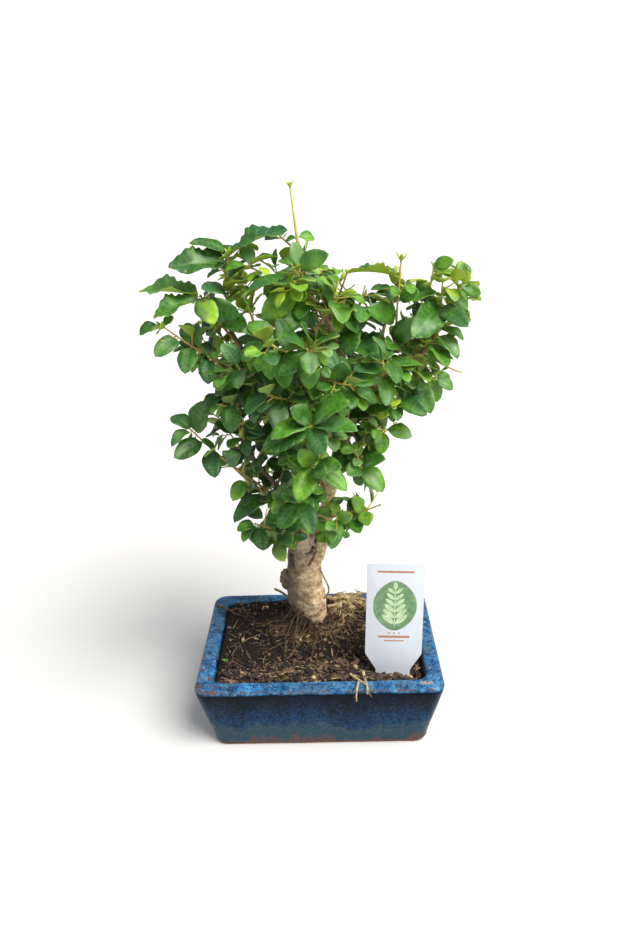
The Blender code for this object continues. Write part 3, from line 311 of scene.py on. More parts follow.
# Surface roots: compass direction in degrees and length, laid over the soil from the trunk's foot.
ROOTS = [
    (184, 40), (208, 30), (226, 36), (243, 42), (260, 32), (276, 44), (293, 36), (310, 46),
    (330, 38), (350, 42), (20, 32), (150, 28),
]
ROOT_TIP_RADIUS = 0.55 * MM
ROOT_STEPS = 4
ROOT_BEND_REACH = 13

# How many small things lie on the soil, on the lip and round the trunk's foot.
FLAKES = 560
CRUMBS = 1000
FIBRES = 520
FRONT_FIBRES = 52
CURTAIN_STRANDS = 48
ROOTLETS = 190
CRUST_GRAINS = 80
LOOSE_GRAINS = 16

# How many fine roots leave each strand of the loose dry roots.
FRAYS = {"rear": 44, "front": 3, "left": 3}

# How finely the soil and the bark are cut, and how many rings the trunk is drawn through.
SOIL_GRID = 1.1 * MM
BARK_GRID = 0.55 * MM
TRUNK_RINGS = 36

# Boughs that start below this swell where they leave the trunk.
LOW_BOUGH = 115 * MM

# A soft noise mostly runs between these, and small things take theirs from places this far apart.
NOISE_LOW = 0.3
NOISE_HIGH = 0.7
NOISE_FIELD = 90

# How bright the backdrop looks to the camera.
BACKDROP_LIGHT = 1.1

# The crown's outline, as (x, z) where the sight lines from EYE cross the plane y = 0. Leaves that
# the tables don't place stay inside it.
EYE = Vector((9.8, -411.8, 339.5)) * MM
CROWN_EDGE = [
    (-4, 300), (4, 300), (11, 290), (22, 285), (23, 274), (30, 269), (42, 274), (47, 284), (50, 290),
    (54, 288), (51, 277), (65, 276), (68, 285), (78, 287), (94, 275), (95, 261), (89, 251), (85, 235),
    (78, 219), (71, 215), (69, 203), (50, 198), (42, 194), (42, 174), (30, 164), (42, 153), (39, 141),
    (29, 123), (13, 117), (4, 116), (-16, 112), (-33, 112), (-47, 123), (-49, 141), (-44, 166),
    (-48, 174), (-60, 163), (-69, 177), (-82, 180), (-77, 197), (-69, 204), (-56, 213), (-55, 223),
    (-69, 229), (-86, 238), (-84, 251), (-94, 251), (-84, 258), (-60, 257), (-55, 268), (-56, 276),
    (-52, 283), (-47, 296), (-37, 301), (-22, 306), (-11, 303),
]

# How young and bright each twig's leaves are, from 0, dark and old, to 1, yellow-green. Other
# twigs' leaves are brighter towards the right, where the key light falls: painted light. Some shown
# leaves have a youth of their own.
TWIG_YOUTH = {
    "rosette": 0.4, "rosette_low": 0.6, "front_low": 0.42, "top_pale": 0.45, "top_shoot": 0.4,
    "left_crest": 0.34, "left_shoulder": 0.34, "right_spire": 0.36, "low_right_leaf": 0.45,
    "centre_top": 0.45, "low_left_foot": 0.4, "top_left": 0.4, "top_middle": 0.5,
}
# The top_pale leaf's 0.6 is raised above its neighbours' to paint the pale sheen on it: a painted highlight.
LEAF_YOUTH = {
    ("left_shoulder", 2): 0.8, ("rosette", 1): 0.36, ("low_left_foot", 0): 0.88, ("top_pale", 0): 0.6,
    ("rosette", 2): 0.44, ("rosette", 0): 0.42, ("rosette", 3): 0.2, ("rosette", 5): 0.28,
    ("rosette_low", 0): 0.6, ("rosette_low", 1): 0.56, ("left_crest", 0): 0.24,
    ("right_crest", 3): 0.3, ("right_spire", 4): 0.3, ("right_side", 2): 0.4,
}
GREEN_STEMS = ("top_shoot", "top_middle")
YOUNG_TIPS = ("right_spire", "top_shoot", "left_crest", "right_inner", "top_right")

# How many leafy shoots spring from each bough itself.
BOUGH_SHOOTS = {
    "leader": 22, "right": 12, "right_middle": 8, "left_high": 14, "left_low": 10, "centre": 20,
    "back_left": 9, "back_right": 9, "back": 9,
}

Leaf = namedtuple("Leaf", "twig place frame length width fold curl wave youth", defaults=[None])
Twig = namedtuple("Twig", "name route pairs leaf_length span")

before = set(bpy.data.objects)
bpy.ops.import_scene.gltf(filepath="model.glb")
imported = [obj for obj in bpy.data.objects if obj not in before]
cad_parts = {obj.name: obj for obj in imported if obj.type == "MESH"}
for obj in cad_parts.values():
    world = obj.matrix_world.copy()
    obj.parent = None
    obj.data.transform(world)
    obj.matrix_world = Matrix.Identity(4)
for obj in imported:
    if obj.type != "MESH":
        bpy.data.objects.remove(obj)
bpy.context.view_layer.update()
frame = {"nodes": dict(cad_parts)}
POT_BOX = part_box("pot")
POT_LENGTH = POT_BOX[1].x - POT_BOX[0].x
POT_DEPTH = POT_BOX[1].y - POT_BOX[0].y
POT_HEIGHT = POT_BOX[1].z


# Meshes


def mesh_of(name, bm):
    mesh = bpy.data.meshes.new(name)
    bm.to_mesh(mesh)
    bm.free()
    return mesh


def in_scene(name, data):
    """An object with this data, linked to the scene."""
    made = bpy.data.objects.new(name, data)
    bpy.context.scene.collection.objects.link(made)
    return made


def piece(name, bm, finishes, stands_for=()):
    """Makes a finished piece of the mesh, which rides on the part and may stand for some of its solids."""
    mesh = mesh_of(name, bm)
    for finish in finishes:
        mesh.materials.append(finish)
    made = in_scene(name, mesh)
    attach(made, "root")
    if stands_for:
        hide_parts(*stands_for)
    return made


def toned_mesh():
    """An empty mesh whose points carry a tone, from 0 to 1, and a place on a leaf's blade."""
    bm = bmesh.new()
    bm.verts.layers.float.new("tone")
    bm.verts.layers.float_vector.new("blade")
    return bm


def smooth(bm):
    for face in bm.faces:
        face.smooth = True


def kept_template(bm):
    """Keeps a small mesh as a template that copied() adds to others."""
    smooth(bm)
    return mesh_of("template", bm)


def copied(bm, template, tone=0.0):
    """Adds a copy of the template and gives back its points."""
    first = len(bm.verts)
    bm.from_mesh(template)
    bm.verts.ensure_lookup_table()
    layer = bm.verts.layers.float["tone"]
    added = bm.verts[first:]
    for vert in added:
        vert[layer] = tone
    return added


@lru_cache(maxsize=None)
def rod_template(sides, steps, finish):
    """A closed round rod of radius 1 along Z, in so many steps."""
    bm = toned_mesh()
    bmesh.ops.create_cone(bm, cap_ends=True, segments=sides, radius1=1, radius2=1, depth=steps)
    upright = [edge for edge in bm.edges if abs(edge.verts[0].co.z - edge.verts[1].co.z) > 0.5]
    if steps > 1:
        bmesh.ops.subdivide_edges(bm, edges=upright, cuts=steps - 1)
    bmesh.ops.translate(bm, vec=(0, 0, steps / 2), verts=bm.verts)
    for face in bm.faces:
        face.material_index = finish
    return kept_template(bm)


@lru_cache(maxsize=None)
def lump_template(detail):
    bm = toned_mesh()
    bmesh.ops.create_icosphere(bm, subdivisions=detail, radius=1)
    return kept_template(bm)


@lru_cache(maxsize=None)
def flake_template():
    """A flat splinter with bevelled, uneven edges."""
    bm = toned_mesh()
    bmesh.ops.create_cube(bm, size=2)
    bmesh.ops.subdivide_edges(bm, edges=[e for e in bm.edges if is_along_x(e)], cuts=2)
    bmesh.ops.bevel(
        bm, geom=bm.edges[:], affect="EDGES", offset=0.22, segments=1, profile=0.5, material=-1,
        clamp_overlap=True,
    )
    return kept_template(bm)


def is_along_x(edge):
    return abs(edge.verts[0].co.x - edge.verts[1].co.x) > 1


def raised_top(bm, geom):
    """Extrudes the faces and gives back their new points."""
    grown = bmesh.ops.extrude_face_region(bm, geom=geom)["geom"]
    return [item for item in grown if isinstance(item, bmesh.types.BMVert)]


def pointed_grid(bm, across, rows):
    """Adds a flat grid whose two end rows are each drawn to a point."""
    bmesh.ops.create_grid(bm, x_segments=across, y_segments=rows, size=0.5)
    for end in (-0.5, 0.5):
        row = [vert for vert in bm.verts if abs(vert.co.y - end) < 0.001]
        bmesh.ops.pointmerge(bm, verts=row, merge_co=(0, end, 0))


def scattered(rng, low, high):
    """A vector whose three parts are each drawn between low and high."""
    return Vector([rng.uniform(low, high) for _ in range(3)])


def route_through(points, step):
    """Points about a step apart on a smooth curve through the given ones."""
    made = []
    last = len(points) - 1
    for n in range(last):
        a, b = points[n], points[n + 1]
        before, after = points[max(0, n - 1)], points[min(last, n + 2)]
        count = max(2, round((b - a).length / step) + 1)
        made += interpolate_bezier(a, a + (b - before) / 6, b - (after - a) / 6, b, count)[:-1]
    return made + [points[-1].copy()]


def ring_frames(points):
    """A frame at each point with its Z along the route, turned as little as may be from the last."""
    last = len(points) - 1
    ways = [(points[min(n + 1, last)] - points[max(n - 1, 0)]).normalized() for n in range(last + 1)]
    turned = ways[0].to_track_quat("Z", "Y").to_matrix()
    frames = [turned]
    for a, b in zip(ways, ways[1:]):
        turned = a.rotation_difference(b).to_matrix() @ turned
        frames.append(turned)
    return frames


def add_rod(bm, points, radii, sides, tones=(0.0, 0.0), finish=0):
    """Adds a closed round rod through the points, with a radius at each; its tone runs between two."""
    steps = len(points) - 1
    frames = ring_frames(points)
    layer = bm.verts.layers.float["tone"]
    for vert in copied(bm, rod_template(sides, steps, finish)):
        ring = round(vert.co.z)
        offset = frames[ring] @ Vector((vert.co.x, vert.co.y, 0)) * radii[ring]
        vert[layer] = tones[0] + (tones[1] - tones[0]) * ring / steps
        vert.co = points[ring] + offset


def tapered(count, thick, thin, power=1.0):
    return [thick + (thin - thick) * (n / (count - 1)) ** power for n in range(count)]


def add_strand(bm, route, thick, thin, sides, tones, finish=0):
    """Adds a closed rod along the route that thins evenly from one radius to the other."""
    add_rod(bm, route, tapered(len(route), thick, thin), sides, tones, finish)


def level_way(angle):
    return Vector((math.cos(angle), math.sin(angle), 0))


def along(points, share):
    """The point at a share of the way along a line of points."""
    lengths = [(b - a).length for a, b in zip(points, points[1:])]
    left = share * sum(lengths)
    for a, b, length in zip(points, points[1:], lengths):
        if left <= length:
            return a.lerp(b, left / length)
        left -= length
    return points[-1].copy()


def direction_along(points, share):
    return (along(points, min(1, share + 0.04)) - along(points, max(0, share - 0.04))).normalized()


def seen_from_above(*solids):
    graph = bpy.context.evaluated_depsgraph_get()
    return [BVHTree.FromObject(solid, graph) for solid in solids]


def ground_level(trees, x, y):
    """The top of what lies at this place, or nothing beyond the pot's edge."""
    above = Vector((x, y, 2 * POT_HEIGHT))
    hits = [tree.ray_cast(above, -UP)[0] for tree in trees]
    return max((hit.z for hit in hits if hit), default=0)


# Finishes

# Leaf greens, from dark and old (0) to young and yellow-green (1).
LEAF_UPPER = [
    (0.0, (0.009, 0.048, 0.004)), (0.25, (0.028, 0.122, 0.012)), (0.45, (0.066, 0.222, 0.015)),
    (0.65, (0.150, 0.360, 0.022)), (0.85, (0.320, 0.520, 0.035)), (1.0, (0.600, 0.640, 0.045)),
]
LEAF_UNDER = [
    (0.0, (0.075, 0.160, 0.035)), (0.5, (0.200, 0.320, 0.085)), (1.0, (0.560, 0.660, 0.070)),
]
# Painted reflection of the sky on the leaves' upper faces.
PAINTED_SKY_SHEEN_GREEN = (0.026, 0.112, 0.040)
SAGE = (0.200, 0.340, 0.150)
# Painted glow of sun through the undersides high in the crown.
PAINTED_GLOW_LIME = (0.400, 0.560, 0.035)
VEIN_GREEN = (0.26, 0.42, 0.12)
GLOWING_RIM_GREEN = (0.24, 0.42, 0.06)
UNDER_VEIN_GREEN = (0.40, 0.52, 0.20)

# Twig bark from old (0) to young (1).
TWIG_BARK = [
    (0.0, (0.11, 0.065, 0.045)), (0.35, (0.34, 0.20, 0.11)), (0.65, (0.48, 0.36, 0.11)),
    (1.0, (0.58, 0.58, 0.10)),
]

BUFF = (1.0, 0.82, 0.54)
# Pale bark patches on the lit right side, partly painted light.
SUNLIT_PALE_BUFF = (1.0, 0.80, 0.50)
# The leader's pinkish bark, partly painted light where the leaves shade it.
PINKISH_BUFF_AND_PAINTED_LIGHT = (1.0, 0.76, 0.52)
# Painted light: the warm tint of the trunk's sunlit right side.
PAINTED_SUN_WARMTH = (1.0, 0.86, 0.66)
CUT_WOOD = (0.92, 0.76, 0.55)
STAIN_BROWN = (0.40, 0.215, 0.105)
SPLIT_BROWN = (0.14, 0.075, 0.035)
# Painted shade in the trunk's hollows, and the boughs' own darker bark.
SHADE_AND_DARK_BARK_BROWN = (0.05, 0.028, 0.018)

# What a root's or a flake's tone does to its colour, from pale or dark (0) upwards.
ROOT_SHADES = [
    (0.0, (1.0, 1.0, 1.0)), (0.3, (0.42, 0.42, 0.36)), (0.6, (0.17, 0.155, 0.12)),
    (0.9, (0.06, 0.05, 0.045)),
]
FLAKE_BROWNS = [
    (0.0, (0.008, 0.006, 0.005)), (0.25, (0.036, 0.022, 0.017)), (0.45, (0.120, 0.070, 0.048)),
    (0.65, (0.270, 0.150, 0.085)), (1.0, (0.60, 0.42, 0.20)),
]

# The glaze down a wall, by height as a share of the pot's.
WALL_GLAZE = [
    (0.03, (0.130, 0.072, 0.058)), (0.09, (0.085, 0.072, 0.080)), (0.16, (0.030, 0.070, 0.090)),
    (0.34, (0.042, 0.078, 0.100)), (0.43, (0.012, 0.052, 0.120)), (0.60, (0.008, 0.035, 0.082)),
    (0.74, (0.004, 0.013, 0.028)), (0.94, (0.002, 0.005, 0.010)),
]
WALL_FLECK_BLUE = (0.012, 0.060, 0.140)
WALL_FLECK_DARK = (0.003, 0.006, 0.012)
LIP_DEEP_BLUE = (0.006, 0.062, 0.205)
LIP_BRIGHT_BLUE = (0.058, 0.280, 0.570)
LIP_DULL_BLUE = (0.070, 0.130, 0.180)
LIP_POOLED_BLUE = (0.008, 0.028, 0.060)
LIP_FLECK_DARK = (0.005, 0.018, 0.050)
LIP_FLECK_PALE = (0.30, 0.42, 0.50)
RUST = (0.13, 0.055, 0.028)
WORN_CLAY = (0.11, 0.065, 0.04)


class Nodes:
    """Adds shader nodes to one tree. Scales are in features a metre of the piece."""

    def __init__(self, tree):
        self.tree = tree

    @cached_property
    def place(self):
        return self.add("ShaderNodeTexCoord").outputs["Object"]

    def fill(self, socket, value):
        """Links the socket to another one or gives it a plain value."""
        if isinstance(value, bpy.types.NodeSocket):
            self.tree.links.new(value, socket)
        else:
            socket.default_value = value

    def add(self, kind, inputs=(), **settings):
        """Adds a node, applies its settings, and fills its inputs."""
        made = self.tree.nodes.new(kind)
        for key, value in settings.items():
            setattr(made, key, value)
        for key, value in dict(inputs).items():
            self.fill(made.inputs[key], value)
        return made

    def cloud(self, scale, detail=3.0, roughness=0.55, ways=None):
        """A soft noise from 0 to 1, at other scales along X, Y and Z where ways are given."""
        place = self.place
        if ways:
            place = self.add("ShaderNodeMapping", {"Vector": place, "Scale": ways}).outputs["Vector"]
        inputs = {"Vector": place, "Scale": scale, "Detail": detail, "Roughness": roughness}
        return self.add("ShaderNodeTexNoise", inputs).outputs["Fac"]

    def stretch(self, value, low, high, new_low=0.0, new_high=1.0):
        inputs = {"Value": value, "From Min": low, "From Max": high, "To Min": new_low, "To Max": new_high}
        return self.add("ShaderNodeMapRange", inputs).outputs["Result"]

    def ranging(self, low, high, *noise):
        """A soft noise that ranges from one value to the other."""
        return self.stretch(self.cloud(*noise), NOISE_LOW, NOISE_HIGH, low, high)

    def swing(self, cloud, reach):
        """A noise made to stray from 0 by so much either way."""
        return self.stretch(cloud, NOISE_LOW, NOISE_HIGH, -reach, reach)

    def strayed(self, value, reach, *noise):
        return self.plus(value, self.swing(self.cloud(*noise), reach))

    def spots(self, low, high, most, *noise):
        """A mask from a soft noise: 0 at the first level of it and the most at the second."""
        return self.stretch(self.cloud(*noise), low, high, 0, most)

    def maths(self, operation, a, b=0.0):
        return self.add("ShaderNodeMath", {0: a, 1: b}, operation=operation).outputs["Value"]

    def plus(self, a, b):
        return self.maths("ADD", a, b)

    def minus(self, a, b):
        return self.maths("SUBTRACT", a, b)

    def times(self, a, b):
        return self.maths("MULTIPLY", a, b)

    def mixed(self, share, low, high, kind="MIX"):
        inputs = {0: share, 6: opaque(low), 7: opaque(high)}
        return self.add("ShaderNodeMix", inputs, data_type="RGBA", blend_type=kind).outputs[2]

    def banded(self, value, stops):
        """A colour that runs through the stops, given as (place, colour)."""
        ramp = self.add("ShaderNodeValToRGB", {"Fac": value})
        elements = ramp.color_ramp.elements
        while len(elements) < len(stops):
            elements.new(0.5)
        for element, (place, colour) in zip(elements, stops):
            element.position = place
            element.color = opaque(colour)
        return ramp.outputs["Color"]

    def attribute(self, name, output="Fac"):
        return self.add("ShaderNodeAttribute", attribute_name=name).outputs[output]

    def parts(self, vector):
        return self.add("ShaderNodeSeparateXYZ", {"Vector": vector}).outputs

    def bumped(self, height, strength, distance):
        inputs = {"Height": height, "Strength": strength, "Distance": distance}
        return self.add("ShaderNodeBump", inputs).outputs["Normal"]


def opaque(colour):
    return (*colour, 1) if isinstance(colour, tuple) else colour


class Finish(Nodes):
    """A material in the making."""

    def __init__(self, name):
        self.material = bpy.data.materials.new(name)
        self.material.use_nodes = True
        super().__init__(self.material.node_tree)

    def mottled(self, size, dark, light, speck, specks=0.0):
        inputs = {"Size": size, "Dark": opaque(dark), "Light": opaque(light), "Speck": opaque(speck),
                  "Specks": specks}
        return self.add("ShaderNodeGroup", inputs, node_tree=mottling()).outputs

    def relief(self, size, grain, strength, distance):
        made = self.add("ShaderNodeGroup", {"Size": size, "Grain": grain}, node_tree=fine_relief())
        return self.bumped(made.outputs["Height"], strength, distance)

    def dressed(self, **looks):
        """Gives the shader its plain values and its links, and gives back the material."""
        sockets = self.tree.nodes["Principled BSDF"].inputs
        for key, value in looks.items():
            self.fill(sockets[key.replace("_", " ").title().replace("Ior", "IOR")], value)
        return self.material


def effect(name, inputs, outputs):
    """An empty node group with its sockets, as (its nodes, its given values, its wanted ones)."""
    group = bpy.data.node_groups.new(name, "ShaderNodeTree")
    for way, sockets in (("INPUT", inputs), ("OUTPUT", outputs)):
        for label, kind in sockets.items():
            group.interface.new_socket(name=label, in_out=way, socket_type="NodeSocket" + kind)
    given = group.nodes.new("NodeGroupInput").outputs
    return Nodes(group), given, group.nodes.new("NodeGroupOutput").inputs


@lru_cache(maxsize=None)
def mottling():
    """Two colours in blotches of a size, with finer specks of a third."""
    inputs = {"Size": "Float", "Dark": "Color", "Light": "Color", "Speck": "Color", "Specks": "Float"}
    made, given, wanted = effect("mottling", inputs, {"Colour": "Color", "Blotches": "Float"})
    frequency = made.maths("DIVIDE", 1.0, given["Size"])
    blotches = made.ranging(0, 1, frequency, 4, 0.65)
    colour = made.mixed(blotches, given["Dark"], given["Light"])
    fine = made.cloud(made.times(frequency, 4.3), 2)
    specks = made.stretch(made.plus(fine, given["Specks"]), 0.78, 0.86)
    made.fill(wanted["Colour"], made.mixed(specks, colour, given["Speck"]))
    made.fill(wanted["Blotches"], blotches)
    return made.tree


@lru_cache(maxsize=None)
def fine_relief():
    """A fine uneven surface: soft lumps with sharper grain on them."""
    made, given, wanted = effect("fine_relief", {"Size": "Float", "Grain": "Float"}, {"Height": "Float"})
    frequency = made.maths("DIVIDE", 1.0, given["Size"])
    grain = made.cloud(made.times(frequency, 6), 2)
    height = made.plus(made.cloud(frequency), made.times(grain, given["Grain"]))
    made.fill(wanted["Height"], height)
    return made.tree


def leaf_finish():
    """Leathery green: veins, mottling and sage patches; painted light: bluish patches for the sky's sheen,
    a glowing yellow-green rim, and an underside that glows lime high in the crown.
    """
    made = Finish("privet leaf")
    across, lengthwise, side = made.parts(made.attribute("blade", "Vector"))
    patches = made.cloud(170)
    shade = made.plus(made.attribute("tone"), made.swing(patches, 0.14))
    shade = made.strayed(shade, 0.09, 640, 3, 0.65)
    upper = made.banded(shade, LEAF_UPPER)
    # Painted reflection: bluish patches on the upper faces stand for the sky's sheen.
    upper = made.mixed(made.spots(0.48, 0.62, 0.75, 48, 1), upper, PAINTED_SKY_SHEEN_GREEN)
    upper = made.mixed(made.spots(0.57, 0.68, 0.65, 61, 1, 0.55, (1, 1.2, 0.9)), upper, SAGE)
    # Painted light: undersides high in the crown glow lime, as if the sun shone through them.
    painted_glow = made.stretch(made.parts(made.place)[2], 215 * MM, 270 * MM, 0, 0.8)
    under = made.mixed(painted_glow, made.banded(shade, LEAF_UNDER), PAINTED_GLOW_LIME)
    reach = made.maths("ABSOLUTE", across)
    midrib = made.stretch(reach, 0.02, 0.08, 0.2, 0)
    slant = made.minus(lengthwise, made.times(reach, 0.16))
    veins = made.stretch(made.maths("SINE", made.times(slant, 42)), 0.7, 1.0, 0, 0.16)
    ribbed = made.maths("MAXIMUM", midrib, veins)
    # Painted glow: a yellow-green rim where light shines through the thin margin.
    rim = made.times(made.stretch(reach, 0.86, 1.0, 0, 0.5), made.stretch(patches, 0.42, 0.6))
    upper = made.mixed(rim, made.mixed(ribbed, upper, VEIN_GREEN), GLOWING_RIM_GREEN)
    under = made.mixed(made.times(ribbed, 1.6), under, UNDER_VEIN_GREEN)
    is_under = made.maths("LESS_THAN", side, 0)
    rises = made.minus(made.cloud(900, 2), made.times(ribbed, 2.5))
    return made.dressed(
        ior=1.5, specular_ior_level=0.4, subsurface_weight=0.25, subsurface_scale=0.6 * MM,
        base_color=made.mixed(is_under, upper, under),
        roughness=made.plus(made.ranging(0.34, 0.56, 420, 2), made.times(is_under, 0.25)),
        normal=made.bumped(rises, 0.3, 0.2 * MM),
    )


def twig_bark_finish():
    """Twig bark, red-brown where old and green where young."""
    made = Finish("twig bark")
    age = made.strayed(made.attribute("tone"), 0.14, 260)
    return made.dressed(
        ior=1.4, base_color=made.banded(age, TWIG_BARK), roughness=made.ranging(0.5, 0.75, 700),
        normal=made.relief(1.2 * MM, 0.4, 0.4, 0.2 * MM),
    )


def bark_finish():
    """Old bark: buff and tan blotches; painted shade: brown in the hollows and grey-brown on the left side;
    painted light: warm, pale patches on the right side and paler bark above 118 mm.
    """
    made = Finish("old bark")
    plates = made.mottled(6 * MM, (0.21, 0.117, 0.06), BUFF, (0.13, 0.065, 0.03), 0.09)
    fine = made.mottled(1.4 * MM, (0.38, 0.225, 0.11), BUFF, (0.12, 0.065, 0.035), 0.06)
    colour = made.mixed(0.36, plates["Colour"], fine["Colour"])
    stains = made.spots(0.48, 0.58, 0.72, 105, 4, 0.6, (1, 1, 1.5))
    colour = made.mixed(stains, colour, STAIN_BROWN)
    x, _, z = made.parts(made.place)
    # Above 118 mm the bark turns pinkish buff: the leader's own tint, and painted light that brightens it in
    # the leaves' shade.
    colour = made.mixed(made.stretch(z, 118 * MM, 132 * MM, 0, 0.6), colour, PINKISH_BUFF_AND_PAINTED_LIGHT)
    across = made.maths("DIVIDE", made.minus(x, -6 * MM), 6.5 * MM)
    upwards = made.maths("DIVIDE", made.minus(z, 112 * MM), 8 * MM)
    from_cut = made.plus(made.times(across, across), made.times(upwards, upwards))
    colour = made.mixed(made.stretch(from_cut, 1.0, 0.6, 0, 0.6), colour, CUT_WOOD)
    split = made.maths("ABSOLUTE", made.minus(made.cloud(190, 3, 0.6, (1, 1, 2.0)), 0.5))
    colour = made.mixed(made.stretch(split, 0.0, 0.03, 0.75, 0), colour, SPLIT_BROWN)
    ragged = made.strayed(x, 6 * MM, 130, 4)
    # Painted light: the right side, where the key light falls, is tinted warm.
    colour = made.mixed(made.stretch(ragged, -2 * MM, 9 * MM, 0, 0.8), colour, PAINTED_SUN_WARMTH, "MULTIPLY")
    # Pale patches kept to the right side: partly the bark's own paler patches, partly painted light on the
    # lit side.
    pale = made.spots(0.42, 0.6, 0.75, 210, 3, 0.55, (1, 1, 1.4))
    colour = made.mixed(made.times(pale, made.stretch(ragged, -6 * MM, 4 * MM)), colour, SUNLIT_PALE_BUFF)
    # Painted shade: the left side, away from the key light, turns dark grey-brown.
    painted_left_shade = made.mottled(2.4 * MM, (0.060, 0.044, 0.030), (0.24, 0.18, 0.125), (0.42, 0.36, 0.27), -0.02)
    colour = made.mixed(made.stretch(ragged, -4 * MM, -15 * MM, 0, 0.88), colour, painted_left_shade["Colour"])
    # The tone paints shade into the trunk's hollows, and is the boughs' own darker bark.
    return made.dressed(
        ior=1.4, base_color=made.mixed(made.attribute("tone"), colour, SHADE_AND_DARK_BARK_BROWN),
        roughness=made.stretch(plates["Blotches"], 0, 1, 0.92, 0.78),
        normal=made.relief(1.6 * MM, 0.6, 0.9, 0.6 * MM),
    )


def root_finish():
    """Root skin: straw and tan, olive-brown and nearly black as the tone says."""
    made = Finish("root skin")
    skin = made.mottled(5 * MM, (0.34, 0.23, 0.11), (0.66, 0.50, 0.28), (0.14, 0.08, 0.04), 0.03)
    tone = made.plus(made.attribute("tone"), made.stretch(skin["Blotches"], 0, 1, 0.06, -0.06))
    shade = made.banded(tone, ROOT_SHADES)
    return made.dressed(
        ior=1.4, base_color=made.mixed(1.0, skin["Colour"], shade, "MULTIPLY"),
        roughness=made.stretch(skin["Blotches"], 0, 1, 0.92, 0.75),
        normal=made.relief(0.9 * MM, 0.5, 0.5, 0.2 * MM),
    )


def soil_finish():
    """Damp bark compost: nearly black, with brown crumbs and a few tan ones."""
    made = Finish("bark compost")
    crumbs = made.mottled(1.9 * MM, (0.003, 0.0024, 0.002), (0.033, 0.021, 0.014), (0.13, 0.08, 0.045), 0.01)
    return made.dressed(
        ior=1.35, base_color=crumbs["Colour"], roughness=made.stretch(crumbs["Blotches"], 0, 1, 0.8, 1.0),
        normal=made.relief(1.3 * MM, 0.8, 1.0, 0.8 * MM),
    )


def flake_finish():
    """Bark flakes from nearly black to red-brown and tan, as their tone says."""
    made = Finish("bark flake")
    tone = made.strayed(made.attribute("tone"), 0.15, 500)
    return made.dressed(
        ior=1.4, base_color=made.banded(tone, FLAKE_BROWNS), roughness=made.ranging(0.7, 0.95, 900),
        normal=made.relief(1.0 * MM, 0.6, 0.6, 0.3 * MM),
    )


def glaze_finish():
    """A running blue glaze: bright on the lip, nearly black under it, teal low down, clay at the foot."""
    made = Finish("blue glaze")
    x, y, z = made.parts(made.place)
    runs = made.cloud(110, 4, 0.62, (1, 1, 0.28))
    level = made.plus(made.maths("DIVIDE", z, POT_HEIGHT), made.swing(runs, 0.08))
    level = made.strayed(level, 0.09, 52, 2, 0.5, (1, 1, 0.12))
    flecks = made.cloud(620, 3, 0.65)
    low_down = made.stretch(level, 0.95, 0.6, 0.2, 1)
    wall = made.banded(level, WALL_GLAZE)
    wall = made.mixed(made.times(made.stretch(flecks, 0.5, 0.64, 0, 0.7), low_down), wall, WALL_FLECK_BLUE)
    dark_flecks = made.spots(0.54, 0.42, 0.85, 540, 4, 0.7)
    dark_flecks = made.times(dark_flecks, made.stretch(level, 0.2, 0.5, 0.25, 1))
    wall = made.mixed(dark_flecks, wall, WALL_FLECK_DARK)
    lip = made.mixed(made.spots(0.4, 0.6, 1, 150, 5, 0.66), LIP_DEEP_BLUE, LIP_BRIGHT_BLUE)
    lip = made.mixed(made.stretch(made.cloud(75), 0.48, 0.62, 0.05, 0.6), lip, LIP_DULL_BLUE)
    lip = made.mixed(made.spots(0.545, 0.64, 0.8, 88, 6, 0.75), lip, LIP_POOLED_BLUE)
    lip = made.mixed(made.stretch(flecks, 0.52, 0.61, 0, 0.8), lip, LIP_FLECK_DARK)
    lip = made.mixed(made.spots(0.64, 0.72, 0.8, 510, 2, 0.6), lip, LIP_FLECK_PALE)
    ragged_level = made.plus(z, made.swing(runs, 0.6 * MM))
    on_lip = made.stretch(ragged_level, POT_HEIGHT - 2.6 * MM, POT_HEIGHT - 1.3 * MM)
    colour = made.mixed(on_lip, wall, lip)
    near_left_corner = made.plus(made.times(x, -1.0), made.times(y, -0.45))
    rusty = made.stretch(near_left_corner, 48 * MM, 92 * MM, 0, 0.19)
    rusty = made.times(rusty, made.stretch(on_lip, 0, 1, 0.3, 1))
    spots = made.plus(made.cloud(480, 3, 0.6), rusty)
    colour = made.mixed(made.stretch(spots, 0.71, 0.78), colour, RUST)
    worn = made.plus(made.attribute("tone"), made.ranging(-0.75, 0.35, 260, 4, 0.65))
    colour = made.mixed(made.stretch(worn, 0.5, 0.85, 0, 0.9), colour, WORN_CLAY)
    glazed = made.stretch(made.strayed(z, 0.9 * MM, 140), CLAY_BAND - 0.5 * MM, CLAY_BAND + 0.3 * MM)
    clay = made.mottled(4 * MM, (0.13, 0.05, 0.03), (0.24, 0.11, 0.065), (0.05, 0.025, 0.018))
    rough = made.stretch(spots, 0.66, 0.78, 0.3, 0.6)
    rough = made.maths("MAXIMUM", rough, made.stretch(glazed, 0, 1, 0.9, 0.3))
    return made.dressed(
        ior=1.5, specular_ior_level=0.06, coat_roughness=0.08,
        base_color=made.mixed(glazed, clay["Colour"], colour), roughness=rough,
        coat_weight=made.times(glazed, made.stretch(on_lip, 0, 1, 0.04, 0.3)),
        normal=made.relief(1.4 * MM, 0.5, 0.3, 0.2 * MM),
    )


def plain_finish(name, dark, light, size, gloss, bump):
    """A moulded or printed surface with a little unevenness in its colour and gloss."""
    made = Finish(name)
    tones = made.mottled(size, dark, light, dark)
    return made.dressed(
        ior=1.46, base_color=tones["Colour"],
        roughness=made.stretch(tones["Blotches"], 0, 1, gloss, gloss + 0.1),
        normal=made.relief(size / 4, 0.5, bump, 0.05 * MM),
    )


# Pot


